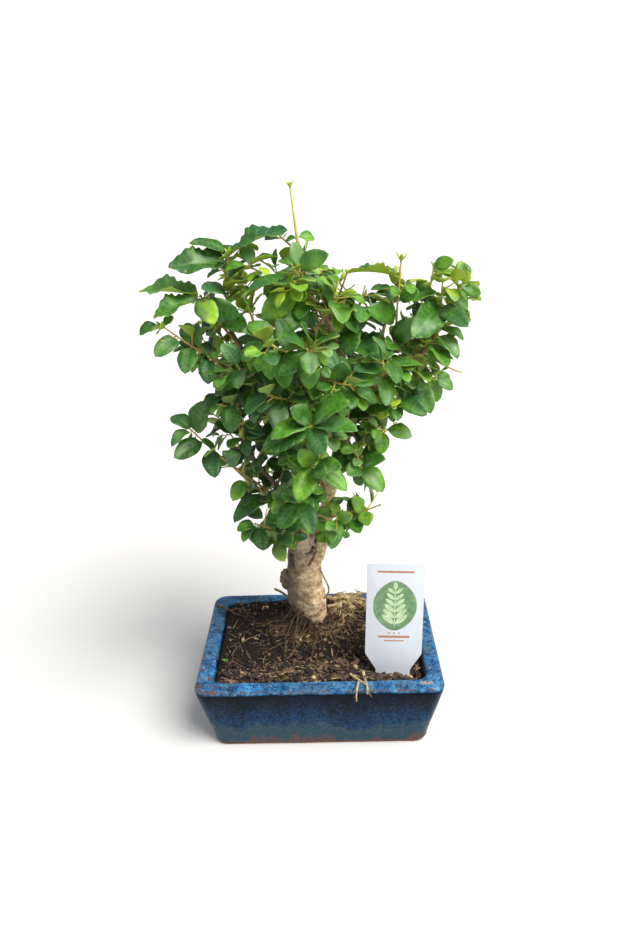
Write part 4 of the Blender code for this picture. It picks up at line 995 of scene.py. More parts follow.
def pot_sections():
    """The pot's section from foot to floor, as (height, inset at the ends, inset in front, wear)."""
    end, front = POT_FOOT_INSET

    def wall(level, out=0.0, wear=0.0):
        share = (level - 1.6 * MM) / (POT_HEIGHT - 5.6 * MM)
        lean = 1 - min(1, max(0, share))
        under_lip = 0.2 * MM * (1 - lean) - out
        return (level, end * lean + under_lip, front * lean + under_lip, wear)

    sections = [
        (0, end + 1.2 * MM, front + 1.2 * MM, 0), (0.5 * MM, end + 0.45 * MM, front + 0.45 * MM, 0),
        wall(1.5 * MM), wall(CLAY_BAND), wall(CLAY_BAND + 0.4 * MM, GLAZE_ROLL * 0.8),
        wall(CLAY_BAND + 1.1 * MM, GLAZE_ROLL), wall(CLAY_BAND + 2.4 * MM, GLAZE_ROLL * 0.55),
    ]
    sections += [wall(share * POT_HEIGHT, 0.1 * MM) for share in (0.18, 0.3, 0.42, 0.54, 0.66, 0.78, 0.88)]
    centre = POT_HEIGHT - LIP_ROUNDING
    for n in range(7):
        angle = n / 6 * math.pi / 2
        inset = LIP_ROUNDING * (1 - math.cos(angle))
        sections.append((centre + LIP_ROUNDING * math.sin(angle), inset, inset, math.sin(2 * angle) ** 2))
    inner = LIP_WIDTH - INNER_ROUNDING
    sections += [(POT_HEIGHT + 0.12 * MM, share * LIP_WIDTH, share * LIP_WIDTH, 0) for share in (0.38, 0.62)]
    for n in range(5):
        angle = n / 4 * math.pi / 2
        inset = inner + INNER_ROUNDING * math.sin(angle)
        level = POT_HEIGHT - INNER_ROUNDING * (1 - math.cos(angle))
        sections.append((level, inset, inset, 0.7 * math.sin(2 * angle) ** 2))
    lip = LIP_WIDTH + 1 * MM
    sections += [
        (POT_HEIGHT - 3 * MM, lip, lip, 0), (POT_HEIGHT - 9 * MM, lip + 1 * MM, lip + 1 * MM, 0),
        (FLOOR + 2 * MM, 17 * MM, 17 * MM, 0), (FLOOR, 19 * MM, 19 * MM, 0),
    ]
    return sections


def rounded_outline(bm, segments):
    """One face with the pot's outline, its corners rounded and its sides cut into short runs."""
    bmesh.ops.create_grid(bm, x_segments=1, y_segments=1, size=0.5)
    bmesh.ops.scale(bm, vec=(POT_LENGTH, POT_DEPTH, 1), verts=bm.verts)
    bmesh.ops.bevel(
        bm, geom=bm.verts[:], affect="VERTICES", offset=POT_CORNER_RADIUS, segments=segments,
        profile=0.5, material=-1,
    )
    long_runs = [edge for edge in bm.edges if edge.calc_length() > LONG_RUN]
    bmesh.ops.subdivide_edges(bm, edges=long_runs, cuts=LONG_RUN_CUTS)
    bm.faces.ensure_lookup_table()
    return bm.faces[0]


def make_pot(glaze):
    bm = toned_mesh()
    layer = bm.verts.layers.float["tone"]
    face = rounded_outline(bm, 8)
    size, height = (POT_LENGTH, POT_DEPTH), 0
    for number, (level, end, front, wear) in enumerate(pot_sections()):
        if number:
            grown = bmesh.ops.extrude_face_region(bm, geom=[face, *face.edges])["geom"]
            face = next(item for item in grown if isinstance(item, bmesh.types.BMFace))
        ring = face.verts[:]
        wanted = (POT_LENGTH - 2 * end, POT_DEPTH - 2 * front)
        bmesh.ops.scale(bm, vec=(wanted[0] / size[0], wanted[1] / size[1], 1), verts=ring)
        bmesh.ops.translate(bm, vec=(0, 0, level - height), verts=ring)
        for vert in ring:
            vert[layer] = wear
        size, height = wanted, level
    bmesh.ops.recalc_face_normals(bm, faces=bm.faces)
    bm.normal_update()
    for vert in bm.verts:
        if vert.co.z > 1 * MM:
            slow = noise.noise(vert.co / (26 * MM)) * 0.3 * MM
            quick = noise.noise(vert.co / (7 * MM)) * 0.1 * MM
            vert.co += vert.normal * (slow + quick)
    smooth(bm)
    made = piece("glazed_pot", bm, [glaze], ["pot"])
    drill = bmesh.new()
    for side in (-1, 1):
        hole = bmesh.ops.create_cone(
            drill, cap_ends=True, segments=32, radius1=DRAIN_RADIUS, radius2=DRAIN_RADIUS, depth=4 * FLOOR
        )
        bmesh.ops.translate(drill, vec=(side * DRAIN_SPACING / 2, 0, 0), verts=hole["verts"])
    joined(made, drill, "DIFFERENCE")
    made.data.set_sharp_from_angle(angle=math.radians(50))
    return made


def joined(body, tool_bm, operation):
    """Cuts or joins the body's mesh with the tool's, once and for all."""
    tool = in_scene("tool", mesh_of("tool", tool_bm))
    step = body.modifiers.new("boolean", "BOOLEAN")
    step.operation = operation
    step.object = tool
    settle_modifiers(body)
    bpy.data.objects.remove(tool)


def settle_modifiers(body):
    """Makes the modifiers' result the body's own mesh."""
    bpy.context.view_layer.update()
    graph = bpy.context.evaluated_depsgraph_get()
    mesh = bpy.data.meshes.new_from_object(body.evaluated_get(graph))
    body.modifiers.clear()
    body.data = mesh


# Soil


def soil_height(x, y):
    """The soil's surface: a mound round the trunk's foot, lower at the right-hand end, with small lumps."""
    from_trunk = math.hypot(x - TRUNK_FOOT.x, y - TRUNK_FOOT.y)
    mound = MOUND_HEIGHT * math.exp(-((from_trunk / MOUND_SPREAD) ** 2) / 2)
    dip = RIGHT_DIP / (1 + math.exp((DIP_MIDDLE - x) / DIP_RUN))
    rise = REAR_RISE * max(0, y / (POT_DEPTH / 2)) ** 1.5
    lumps = 0.55 * math.sin(x / (4.7 * MM) + 1.3) * math.sin(y / (4.1 * MM))
    grit = 0.35 * math.sin(x / (2.6 * MM) + y / (3.4 * MM))
    return SOIL_LEVEL + mound - dip + rise + (lumps + grit) * MM


def make_soil(compost):
    """The filling of the pot, with a crumbly top."""
    bm = toned_mesh()
    face = rounded_outline(bm, 6)
    bmesh.ops.delete(bm, geom=[face], context="FACES_ONLY")
    for vert in bm.verts:
        inset = LIP_WIDTH + 1.4 * MM
        vert.co.x *= 1 - 2 * inset / POT_LENGTH
        vert.co.y *= 1 - 2 * inset / POT_DEPTH
    bmesh.ops.contextual_create(bm, geom=bm.edges[:])
    for axis, reach in ((0, POT_LENGTH), (1, POT_DEPTH)):
        steps = round(reach / SOIL_GRID)
        normal = Vector((1, 0, 0)) if axis == 0 else Vector((0, 1, 0))
        for n in range(1, steps):
            place = normal * (n / steps - 0.5) * reach
            whole = bm.verts[:] + bm.edges[:] + bm.faces[:]
            bmesh.ops.bisect_plane(bm, geom=whole, plane_co=place, plane_no=normal)
    for vert in raised_top(bm, bm.faces[:] + bm.edges[:]):
        x, y = vert.co.x, vert.co.y
        rough = noise.fractal(Vector((x, y, 0)) / (3.2 * MM), 0.9, 2.1, 4) * 1.0 * MM
        broad = noise.noise(Vector((x, y, 9)) / (11 * MM)) * 0.6 * MM
        vert.co.z = soil_height(x, y) + rough + broad
    for vert in bm.verts:
        if vert.co.z < 1 * MM:
            vert.co = Vector((vert.co.x * 0.9, vert.co.y * 0.86, FLOOR + 2.4 * MM))
    bmesh.ops.recalc_face_normals(bm, faces=bm.faces)
    smooth(bm)
    return piece("soil_filling", bm, [compost], ["soil"])


def on_soil(rng, front_share):
    """A place on the soil, more often along the front for a larger share."""
    x = rng.uniform(-SCATTER_X, SCATTER_X) * MM
    if rng.random() < front_share:
        y = rng.uniform(-SCATTER_Y, -FRONT_STRIP) * MM
    else:
        y = rng.uniform(-SCATTER_Y, SCATTER_Y) * MM
    return x, y


def make_flakes(finish, trees):
    """Bark flakes lying in the soil, thicker along the front."""
    rng = random.Random(SEED)
    bm = toned_mesh()
    for number in range(FLAKES):
        x, y = on_soil(rng, 0.5)
        from_trunk = math.hypot(x - TRUNK_FOOT.x, y - TRUNK_FOOT.y)
        if from_trunk < ROOTED_REACH and number % 4:
            continue
        big = number % 3 == 0 and y < -26 * MM
        length = rng.uniform(1.8, 3.8) * (2.3 if big else 1) * MM
        size = Vector((length / 2, length * rng.uniform(0.13, 0.26), rng.uniform(0.3, 0.7) * MM))
        tilt = Matrix.Rotation(rng.uniform(-0.5, 0.5), 3, "Y")
        tilt = tilt @ Matrix.Rotation(rng.uniform(-0.6, 0.6), 3, "X")
        turn = Matrix.Rotation(rng.uniform(0, math.pi), 3, "Z") @ tilt
        centre = Vector((x, y, ground_level(trees, x, y) + size.z * rng.uniform(0.2, 1.6)))
        tone = rng.choice((0.05, 0.12, 0.2, 0.3, 0.4, 0.5)) + rng.uniform(-0.06, 0.06)
        if number % 17 == 0 and not big:
            tone = 0.8
        shape_flake(copied(bm, flake_template(), tone), size, turn, centre, rng)
    return piece("bark_flakes", bm, [finish])


def shape_flake(verts, size, turn, centre, rng):
    bend = rng.uniform(-0.25, 0.25)
    taper = rng.uniform(-0.35, 0.35)
    drift = scattered(rng, 0, NOISE_FIELD)
    for vert in verts:
        unit = vert.co
        ragged = 1 + 0.28 * noise.noise(unit * 1.7 + drift)
        local = Vector((unit.x, unit.y * (1 + taper * unit.x) * ragged, unit.z + bend * unit.x * unit.x * 2))
        vert.co = centre + turn @ Vector((local.x * size.x, local.y * size.y, local.z * size.z))


def make_crumbs(finish, trees):
    """Crumbs of compost on the soil."""
    rng = random.Random(SEED + 1)
    bm = toned_mesh()
    for _ in range(CRUMBS):
        x, y = on_soil(rng, 0.3)
        radius = rng.choice((0.4, 0.55, 0.7, 0.9, 1.2, 1.6)) * rng.uniform(0.8, 1.2) * MM
        centre = Vector((x, y, ground_level(trees, x, y) + radius * 0.3))
        tone = 0.9 if rng.random() < 0.03 else rng.uniform(0, 0.5)
        drift = scattered(rng, 0, NOISE_FIELD)
        for vert in copied(bm, lump_template(1), tone):
            vert.co = centre + vert.co * radius * (1 + 0.6 * noise.noise(vert.co * 1.3 + drift))
    return piece("soil_crumbs", bm, [finish])


def lying_route(trees, start, angle, length, radius, rng, wander, step=2.2 * MM, sink=0.15):
    """A thin strand's route over the ground inside the lip, straying from its heading as it goes."""
    x, y = start
    points = []
    bend = rng.uniform(-wander, wander)
    for _ in range(max(3, round(length / step)) + 1):
        level = ground_level(trees, x, y)
        points.append(Vector((x, y, level + radius * (1 - sink))))
        angle += bend * 0.12 + rng.uniform(-wander, wander) * 0.5
        x += math.cos(angle) * step
        y += math.sin(angle) * step
    return relaxed([point for point in points if inside_lip(point)])


def relaxed(points, strength=0.5):
    """Evens out a lying strand's rises and dips."""
    heights = [point.z for point in points]
    for n in range(1, len(points) - 1):
        between = (heights[n - 1] + heights[n + 1]) / 2
        points[n].z = max(heights[n] * (1 - strength) + between * strength, heights[n] - 0.1 * MM)
    return points


def make_fibres(finish, trees):
    """Fine dead roots and fibres lying all over the soil."""
    rng = random.Random(SEED + 2)
    bm = toned_mesh()
    for number in range(FIBRES):
        start = on_soil(rng, 0.35)
        length = rng.uniform(4, 17) * MM
        radius = rng.uniform(0.1, 0.26) * MM
        route = lying_route(trees, start, rng.uniform(0, 2 * math.pi), length, radius, rng, 0.5)
        if len(route) < 3:
            continue
        for point in route:
            point.z += rng.uniform(0, 0.35) * MM
        tone = rng.uniform(0.35, 0.95) if number % 3 else rng.uniform(0.05, 0.3)
        add_strand(bm, route, radius, radius * 0.5, 4, (tone, tone))
    for _ in range(FRONT_FIBRES):
        start = (rng.uniform(-22, 36) * MM, rng.uniform(-41, -27) * MM)
        radius = rng.uniform(0.16, 0.36) * MM
        heading = rng.choice((0, math.pi)) + rng.uniform(-0.5, 0.5)
        route = lying_route(trees, start, heading, rng.uniform(9, 24) * MM, radius, rng, 0.34)
        if len(route) > 2:
            for point in route:
                point.z += rng.uniform(0.2, 0.9) * MM
            tone = rng.uniform(0.05, 0.6)
            add_strand(bm, route, radius, radius * 0.5, 5, (tone, tone))
    dead = route_through([Vector(point) * MM for point in DEAD_ROOT], 1.6 * MM)
    add_strand(bm, dead, 0.9 * MM, 0.7 * MM, 7, (0.12, 0.5))
    for places, radius in FRONT_ROOTS:
        points = [Vector((x, y, 0)) * MM for x, y in places]
        route = route_through(points, 1.6 * MM)
        for point in route:
            rise = radius * 0.7 + 0.1 * noise.noise(point / (3 * MM))
            point.z = ground_level(trees, point.x, point.y) + rise * MM
        add_strand(bm, route, radius * MM, radius * 0.5 * MM, 7, (0.05, 0.15))
    return piece("soil_fibres", bm, [finish])


def inside_lip(point):
    inset = LIP_WIDTH + 2 * MM
    return abs(point.x) < POT_LENGTH / 2 - inset and abs(point.y) < POT_DEPTH / 2 - inset


# Wood


def bough_routes():
    return {name: [Vector(p) * MM for p in points] for name, (points, _, _) in BOUGHS.items()}


def make_trunk(bark):
    """The old trunk with its pruned top, side stub and root flare, grown together and skinned in bark."""
    bm = toned_mesh()
    low, high = TRUNK[0][0][2], TRUNK[-1][0][2]
    levels = [(low + (high - low) * n / TRUNK_RINGS) * MM for n in range(TRUNK_RINGS + 1)]
    rings = [trunk_ring(level) for level in levels]
    add_rod(bm, [centre for centre, _ in rings], [radius for _, radius in rings], 40)
    for place, size in (PRUNED_STUB, SIDE_STUB):
        for vert in copied(bm, lump_template(3)):
            vert.co = Vector([c * s for c, s in zip(vert.co, size)]) * MM + Vector(place) * MM
    add_callus(bm)
    for name, (_, thick, _) in BOUGHS.items():
        points = bough_routes()[name]
        if points[0].z < LOW_BOUGH:
            collar = [along(points, share) for share in (0, 0.05, 0.1, 0.16)]
            add_rod(bm, collar, [thick * grow * MM for grow in (1.7, 1.45, 1.15, 0.95)], 16)
    bmesh.ops.recalc_face_normals(bm, faces=bm.faces)
    made = piece("trunk", bm, [bark], ["trunk_boughs_and_roots"])
    skin = made.modifiers.new("skin", "REMESH")
    skin.mode = "VOXEL"
    skin.voxel_size = BARK_GRID
    settle_modifiers(made)
    carve_bark(made.data)
    made.data.materials.clear()
    made.data.materials.append(bark)
    return made


def trunk_ring(level):
    """The trunk's centre and radius at a height, between its rings."""
    for (low, thin), (high, thick) in zip(TRUNK, TRUNK[1:]):
        if level <= high[2] * MM:
            share = max(0, (level / MM - low[2]) / (high[2] - low[2]))
            return Vector(low).lerp(Vector(high), share) * MM, (thin + (thick - thin) * share) * MM
    return Vector(TRUNK[-1][0]) * MM, TRUNK[-1][1] * MM


def add_callus(bm):
    """The rolled edge that has grown round the old cut, open at its lower right."""
    centre = Vector((-6.5, 5.5, 109)) * MM
    facing = Vector((0.1, -0.82, 0.55)).normalized().to_track_quat("Z", "Y").to_matrix()
    ring = []
    for n in range(19):
        angle = math.radians(-20 + 290 * n / 18)
        ring.append(centre + facing @ Vector((math.cos(angle) * 6.2, math.sin(angle) * 7.4, 0)) * MM)
    add_rod(bm, ring, [(1.1 + 0.9 * math.sin(math.pi * n / 18)) * MM for n in range(19)], 10)


def carve_bark(mesh):
    """Roughens the skin, wrinkles it across the trunk and sinks the wounds; its tone paints shade into the
    pits, the low ground between knobs and the wounds, and darkens round the side stub.
    """
    bm = bmesh.new()
    bm.from_mesh(mesh)
    layer = bm.verts.layers.float.get("tone") or bm.verts.layers.float.new("tone")
    for _ in range(2):
        bmesh.ops.smooth_vert(
            bm, verts=bm.verts, factor=0.5, use_axis_x=True, use_axis_y=True, use_axis_z=True
        )
    bm.normal_update()
    for vert in bm.verts:
        co = vert.co.copy()
        broad = noise.fractal(co / (8 * MM), 0.8, 2.0, 3)
        knobs = noise.fractal(co / (2.6 * MM), 0.8, 2.1, 3)
        wrinkle = noise.noise(Vector((co.x * 0.45, co.y * 0.45, co.z)) / (1.5 * MM))
        pit = max(0, noise.noise(co / (4.2 * MM) + UP * 7) - 0.42) / 0.3
        wound = wound_depth(co)
        rise = 0.55 * broad + 0.34 * knobs + 0.16 * wrinkle - 0.4 * pit - 1.5 * wound
        vert.co += vert.normal * rise * MM
        stub = min(1, max(0, 1.6 - (co - Vector(SIDE_STUB[0]) * MM).length / (6.5 * MM)))
        vert.co += vert.normal * 0.5 * stub * knobs * MM
        # Painted shade: the tone is darkest in pits, between knobs, in the wrinkles' hollows and in the
        # wounds, and darker round the side stub.
        depth = 0.5 * pit - 0.35 * knobs - 0.2 * wrinkle - 0.1 + wound + 0.5 * stub
        vert[layer] = min(1, max(0, depth))
    smooth(bm)
    bm.to_mesh(mesh)
    bm.free()


def wound_depth(co):
    """How deep the old wounds are here, from 0 to 1; all are on the trunk's front."""
    deepest = 0
    for start, end, width in WOUNDS:
        a, b = (Vector((x, 0, z)) * MM for x, z in (start, end))
        spot = Vector((co.x, 0, co.z))
        nearest, share = intersect_point_line(spot, a, b)
        nearest = a if share < 0 else b if share > 1 else nearest
        stray = width * (1 + 0.4 * noise.noise(co / (2 * MM))) * MM
        deepest = max(deepest, math.exp(-(((spot - nearest).length / stray) ** 2)))
    return deepest if co.y < trunk_ring(co.z)[0].y else 0


def make_boughs(bark):
    """The boughs, knotty where twigs leave them and thinner towards their tips."""
    bm = toned_mesh()
    for number, (name, (_, thick, thin)) in enumerate(BOUGHS.items()):
        points = route_through(bough_routes()[name], 2.4 * MM)
        radii = tapered(len(points), thick * MM, thin * MM, 0.7)
        for n, point in enumerate(points):
            radii[n] *= 1 + 0.13 * noise.noise(point / (5 * MM) + UP * number)
        depth = 0.02 if name == "leader" else 0.3
        add_rod(bm, points, radii, 10, (depth, depth + 0.2))
    for bough, share, *_ in TWIGS.values():
        place = along(bough_routes()[bough], share)
        for vert in copied(bm, lump_template(1), 0.35):
            vert.co = place + vert.co * 1.5 * MM
    loop = route_through([Vector(point) * MM for point in AERIAL_ROOT], 1.6 * MM)
    add_strand(bm, loop, AERIAL_ROOT_RADIUS, AERIAL_ROOT_RADIUS * 0.8, 8, (0.5, 0.6))
    smooth(bm)
    return piece("boughs", bm, [bark])


def make_surface_roots(finish, trees):
    """The roots that spread over the mound, dark at the collar, with finer ones between them."""
    rng = random.Random(SEED)
    bm = toned_mesh()
    for compass, length in ROOTS:
        angle = math.radians(compass)
        bend = rng.uniform(-0.35, 0.35)
        start = TRUNK_FOOT + level_way(angle) * 6 * MM
        start.z = COLLAR_LEVEL if 150 < compass < 262 else COLLAR_LEVEL - 8.5 * MM
        points = [start]
        for step in range(1, ROOT_STEPS + 1):
            share = step / ROOT_STEPS
            reach = (ROOT_BEND_REACH + (length - ROOT_BEND_REACH) * share) * MM
            turn = angle + bend * share + rng.uniform(-0.07, 0.07)
            x = TRUNK_FOOT.x + reach * math.cos(turn)
            y = TRUNK_FOOT.y + reach * math.sin(turn)
            points.append(Vector((x, y, ground_level(trees, x, y) + ROOT_TIP_RADIUS * 0.4)))
        route = route_through(points, 1.8 * MM)
        for point in route[4:]:
            point.z = max(point.z, ground_level(trees, point.x, point.y) + 0.1 * MM)
            point.z += 0.25 * MM * noise.noise(point / (4 * MM))
        radii = tapered(len(route), 0.85 * MM, 0.4 * MM, 0.6)
        radii = [radius * (1 + 0.25 * noise.noise(point / (3 * MM))) for radius, point in zip(radii, route)]
        add_rod(bm, route, radii, 8, (0.8, rng.uniform(0.3, 0.7)))
    add_curtain(bm, trees)
    add_rootlets(bm, trees)
    smooth(bm)
    return piece("surface_roots", bm, [finish])


def add_curtain(bm, trees):
    """Strands that slope from the trunk's left foot down to the soil, and shorter ones round its front."""
    rng = random.Random(SEED + 4)
    for number in range(CURTAIN_STRANDS):
        left = number % 4 != 0
        angle = math.radians(rng.gauss(222, 24) if left else rng.uniform(255, 350))
        centre, radius = trunk_ring(rng.uniform(50, 66) * MM if left else rng.uniform(48, 51) * MM)
        out = level_way(angle)
        start = centre + out * (radius - 0.4 * MM)
        thickness = rng.choice((0.16, 0.22, 0.3, 0.42, 0.6)) * MM
        heading = angle + rng.uniform(-0.9, 0.9)
        way = level_way(heading)
        foot = start + way * (rng.uniform(7, 19) if left else rng.uniform(2, 5)) * MM
        length = rng.uniform(5, 14) * MM
        lying = lying_route(trees, (foot.x, foot.y), heading, length, thickness, rng, 0.4, 1.8 * MM, 0.1)
        if len(lying) < 3:
            continue
        sag = UP * rng.uniform(-1.5, 1.2) * MM
        route = route_through([start, start.lerp(lying[0], 0.5) + sag, *lying[::2]], 1.8 * MM)
        for point in route[1:]:
            point += scattered(rng, -0.45, 0.45) * MM
            point.z = max(point.z, ground_level(trees, point.x, point.y) + 0.1 * MM)
        tone = rng.choice((0.15, 0.45, 0.7, 0.8, 0.9))
        add_strand(bm, route, thickness, thickness * 0.5, 5, (rng.uniform(0.55, 0.9), tone))


def add_rootlets(bm, trees):
    """A tangle of fine roots on the mound, paler to the right of the trunk."""
    rng = random.Random(SEED + 3)
    for _ in range(ROOTLETS):
        angle = math.radians(rng.uniform(170, 400))
        reach = rng.uniform(9.5, 24) * MM
        x = TRUNK_FOOT.x + reach * math.cos(angle)
        y = TRUNK_FOOT.y + reach * math.sin(angle)
        radius = rng.uniform(0.14, 0.4) * MM
        heading = angle + rng.uniform(-1.7, 1.7)
        route = lying_route(trees, (x, y), heading, rng.uniform(6, 17) * MM, radius, rng, 0.5, 1.6 * MM, 0.1)
        if len(route) < 3:
            continue
        for point in route:
            point.z += rng.uniform(0, 0.5) * MM
        pale = 0.25 if math.cos(angle) > 0 else 0.0
        tone = rng.choice((0.35, 0.55, 0.75, 0.9)) - pale
        add_strand(bm, route, radius, radius * 0.4, 5, (tone, tone * 0.9))


def dry_strands():
    """The loose dry roots, as in the solids: each strand is (thickness, route as (x, y, lift))."""
    return {
        "rear": [
            (2.2, [(6, 29, 0), (14, 34, 0.4), (23, 41, 0.6), (30, 51, 0)]),
            (2.0, [(5, 46, 0), (18, 40, 1), (30, 34, 1), (39, 32, 0)]),
            (2.0, [(14, 51, 0), (19, 40, 0.8), (23, 29, 0)]),
            (1.8, [(8, 38, 0.6), (21, 39, 2), (41, 39, 0)]),
            (1.8, [(22, 50, 0), (18, 38, 1.6), (11, 27, 0)]),
        ],
        "front": [
            (2.2, [(19, -38, 1), (24, -44, 0.3), (28.5, -51, 0.2)]),
            (2.4, [(27, -33, 0), (27.8, -42.5, 0.4), (28.5, -51, 0), (28.3, -57.5, -0.6)]),
            (1.8, [(24, -44, 0), (22, -56.5, 0.2), (22, -58, -5.5)]),
        ],
        "left": [
            (1.8, [(-72, 38, 0), (-66, 35, 0.2), (-58, 29, 0), (-49, 24, 0)]),
            (1.5, [(-62, 32, 0.4), (-58, 34, 0.6), (-50, 33, 0)]),
        ],
    }


def make_dry_roots(finish, trees):
    """The loose dry roots, each strand knotty and frayed into finer ones."""
    names = {"rear": "dry_roots_rear", "front": "dry_roots_front", "left": "dry_root_left"}
    for where, strands in dry_strands().items():
        rng = random.Random(f"{SEED} {where}")
        bm = toned_mesh()
        tone = 0.55 if where == "left" else 0.0
        for thickness, route in strands:
            radius = thickness / 2 * MM
            points = []
            for x, y, lift in route:
                level = ground_level(trees, x * MM, y * MM) or POT_HEIGHT
                points.append(Vector((x * MM, y * MM, level + radius * 0.8 + GAP + lift * MM)))
            fine = route_through(points, 1.5 * MM)
            thin = tapered(len(fine), radius * 0.92, radius * 0.5)
            thin = [r * (1 + 0.3 * noise.noise(p / (2.5 * MM))) for r, p in zip(thin, fine)]
            add_rod(bm, fine, thin, 8, (tone, tone))
            for _ in range(FRAYS[where]):
                add_frayed(bm, fine, rng, tone, where)
            if where == "rear":
                add_matting(bm, fine, rng)
        smooth(bm)
        piece("frayed_" + names[where], bm, [finish], [names[where]])


def add_matting(bm, fine, rng):
    """The matted fibres that pack the tuft's inside."""
    for n in range(2, len(fine) - 2, 3):
        drift = scattered(rng, 0, NOISE_FIELD)
        turn = Matrix.Rotation(rng.uniform(0, math.pi), 3, "Z")
        size = Vector((rng.uniform(2.4, 3.8), rng.uniform(1.4, 2.2), rng.uniform(0.7, 1.1))) * MM
        for vert in copied(bm, lump_template(2), rng.uniform(0.08, 0.3)):
            rough = 1 + 0.45 * noise.fractal(vert.co * 2.2 + drift, 0.8, 2.0, 3)
            vert.co = fine[n] + turn @ Vector([c * s * rough for c, s in zip(vert.co, size)])


def add_frayed(bm, fine, rng, tone, where):
    """A fine root that leaves a strand and lies down beside it."""
    spread = 1.1 if where == "rear" else 0.3
    n = rng.randrange(len(fine) - 1)
    place = fine[n].copy()
    way = (fine[n + 1] - fine[n]).normalized()
    angle = math.atan2(way.y, way.x) + rng.uniform(-spread, spread) * 1.6
    points = [place]
    for step in range(1, 6):
        angle += rng.uniform(-0.35, 0.35)
        reach = 1.6 * MM * rng.uniform(0.6, 1.1)
        point = points[-1] + level_way(angle) * reach
        floor = POT_HEIGHT if abs(point.y) < POT_DEPTH / 2 else place.z
        point.z = max(floor + 0.3 * MM, point.z - 0.12 * MM * step + rng.uniform(-0.2, 0.5) * MM)
        points.append(point)
    radius = rng.uniform(0.16, 0.4) * MM
    shade = tone + rng.uniform(0.05, 0.35)
    add_strand(bm, points, radius, radius * 0.4, 5, (shade, shade + 0.1))


# Label


def label_place():
    turn = Matrix.Rotation(LABEL_ROLL, 4, "Y") @ Matrix.Rotation(math.pi / 2 - LABEL_LEAN, 4, "X")
    return Matrix.Translation(LABEL_FOOT) @ turn


def cut_sheet(bm, outline, thickness, lift, rounding=0.0):
    """A flat closed sheet with this outline, its top at the lift."""
    verts = [bm.verts.new((x, y, lift - thickness)) for x, y in outline]
    face = bmesh.ops.contextual_create(bm, geom=verts)["faces"][0]
    bmesh.ops.translate(bm, vec=(0, 0, thickness), verts=raised_top(bm, [face]))
    if rounding:
        rim = [edge for edge in bm.edges if abs(edge.verts[0].co.z - edge.verts[1].co.z) < thickness / 2]
        bmesh.ops.bevel(
            bm, geom=rim, affect="EDGES", offset=rounding, segments=2, profile=0.5, material=-1
        )


def label_outline():
    half, stem = LABEL_WIDTH / 2, LABEL_STEM_WIDTH / 2
    top = LABEL_SHOULDER + LABEL_BODY
    side = [(stem * 0.35, -LABEL_STEM + 1 * MM), (stem, -LABEL_STEM * 0.5), (stem, -0.6 * MM),
            (stem + 0.5 * MM, 0.6 * MM), (half - 0.5 * MM, LABEL_SHOULDER - 0.6 * MM),
            (half, LABEL_SHOULDER + 0.6 * MM)]
    for n in range(5):
        angle = n / 4 * math.pi / 2
        inset, drop = LABEL_ROUNDING * (1 - math.cos(angle)), LABEL_ROUNDING * (1 - math.sin(angle))
        side.append((half - inset, top - drop))
    return side + [(-x, y) for x, y in reversed(side)]


def oval(x, y, half_width, half_height, turn=0.0, points=20, pointed=0.0):
    """An oval outline, drawn to a point at both ends where pointed is above 0."""
    made = []
    cosine, sine = math.cos(turn), math.sin(turn)
    for n in range(points):
        angle = 2 * math.pi * n / points
        narrow = 1 - pointed * abs(math.sin(angle)) ** 3
        a, b = math.cos(angle) * half_width * narrow, math.sin(angle) * half_height
        made.append((x + a * cosine - b * sine, y + a * sine + b * cosine))
    return made


def slab(x, y, width, height):
    a, b = width / 2, height / 2
    return [(x - a, y - b), (x + a, y - b), (x + a, y + b), (x - a, y + b)]


def label_piece(name, bm, finish, stands_for=()):
    """Makes a finished piece of flat sheets, laid where the label stands."""
    bmesh.ops.recalc_face_normals(bm, faces=bm.faces)
    bmesh.ops.transform(bm, matrix=label_place(), verts=bm.verts)
    return piece(name, bm, [finish], stands_for)


def print_on_label(name, outlines, ink, layers=1):
    """Ink that stands a hair's breadth above the label's face."""
    bm = bmesh.new()
    lift = LABEL_THICKNESS / 2 + PRINT_THICKNESS * layers
    for outline in outlines:
        cut_sheet(bm, [(x * MM, y * MM) for x, y in outline], PRINT_THICKNESS * layers, lift)
    return label_piece(name, bm, ink)


def make_label():
    """The plastic stake and its print: a leaf spray on a green field, with plain rules and dots."""
    plastic = plain_finish("label plastic", (0.54, 0.58, 0.64), (0.58, 0.615, 0.67), 12 * MM, 0.4, 0.1)
    bm = bmesh.new()
    cut_sheet(bm, label_outline(), LABEL_THICKNESS, LABEL_THICKNESS / 2, 0.16 * MM)
    made = label_piece("label_stake", bm, plastic, ["plant_label"])
    made.data.set_sharp_from_angle(angle=math.radians(40))
    green = plain_finish("green ink", (0.07, 0.16, 0.07), (0.2, 0.33, 0.17), 3.2 * MM, 0.4, 0.05)
    pale = plain_finish("pale green ink", (0.3, 0.46, 0.24), (0.55, 0.68, 0.45), 2.5 * MM, 0.4, 0.05)
    brown = plain_finish("terracotta ink", (0.33, 0.12, 0.06), (0.46, 0.2, 0.11), 4 * MM, 0.4, 0.05)
    field = oval(0, 41, 13.2, 15.8, points=40, pointed=0.22)
    print_on_label("label_green_field", [field], green)
    spray = [slab(0, 40, 0.6, 24)]
    for n in range(6):
        for side in (-1, 1):
            lean = side * math.radians(-52)
            reach = 4.8 - 0.4 * n
            spray.append(oval(
                side * reach * 0.82, 30 + n * 3.8 + reach * 0.5, reach * 0.36, reach, lean, 14, 0.35
            ))
    spray.append(oval(0, 53.4, 1.3, 2.6, 0, 14, 0.35))
    print_on_label("label_leaf_spray", spray, pale, layers=2)
    rules = [slab(0, 62.4, 22, 1.1), slab(0, 21.2, 19, 1.3), slab(0, 18.6, 12, 0.7)]
    rules += [oval(x, 23.5, 0.55, 0.55, points=12) for x in (-3, 0, 3)]
    print_on_label("label_rules", rules, brown)
    return made


# Growth


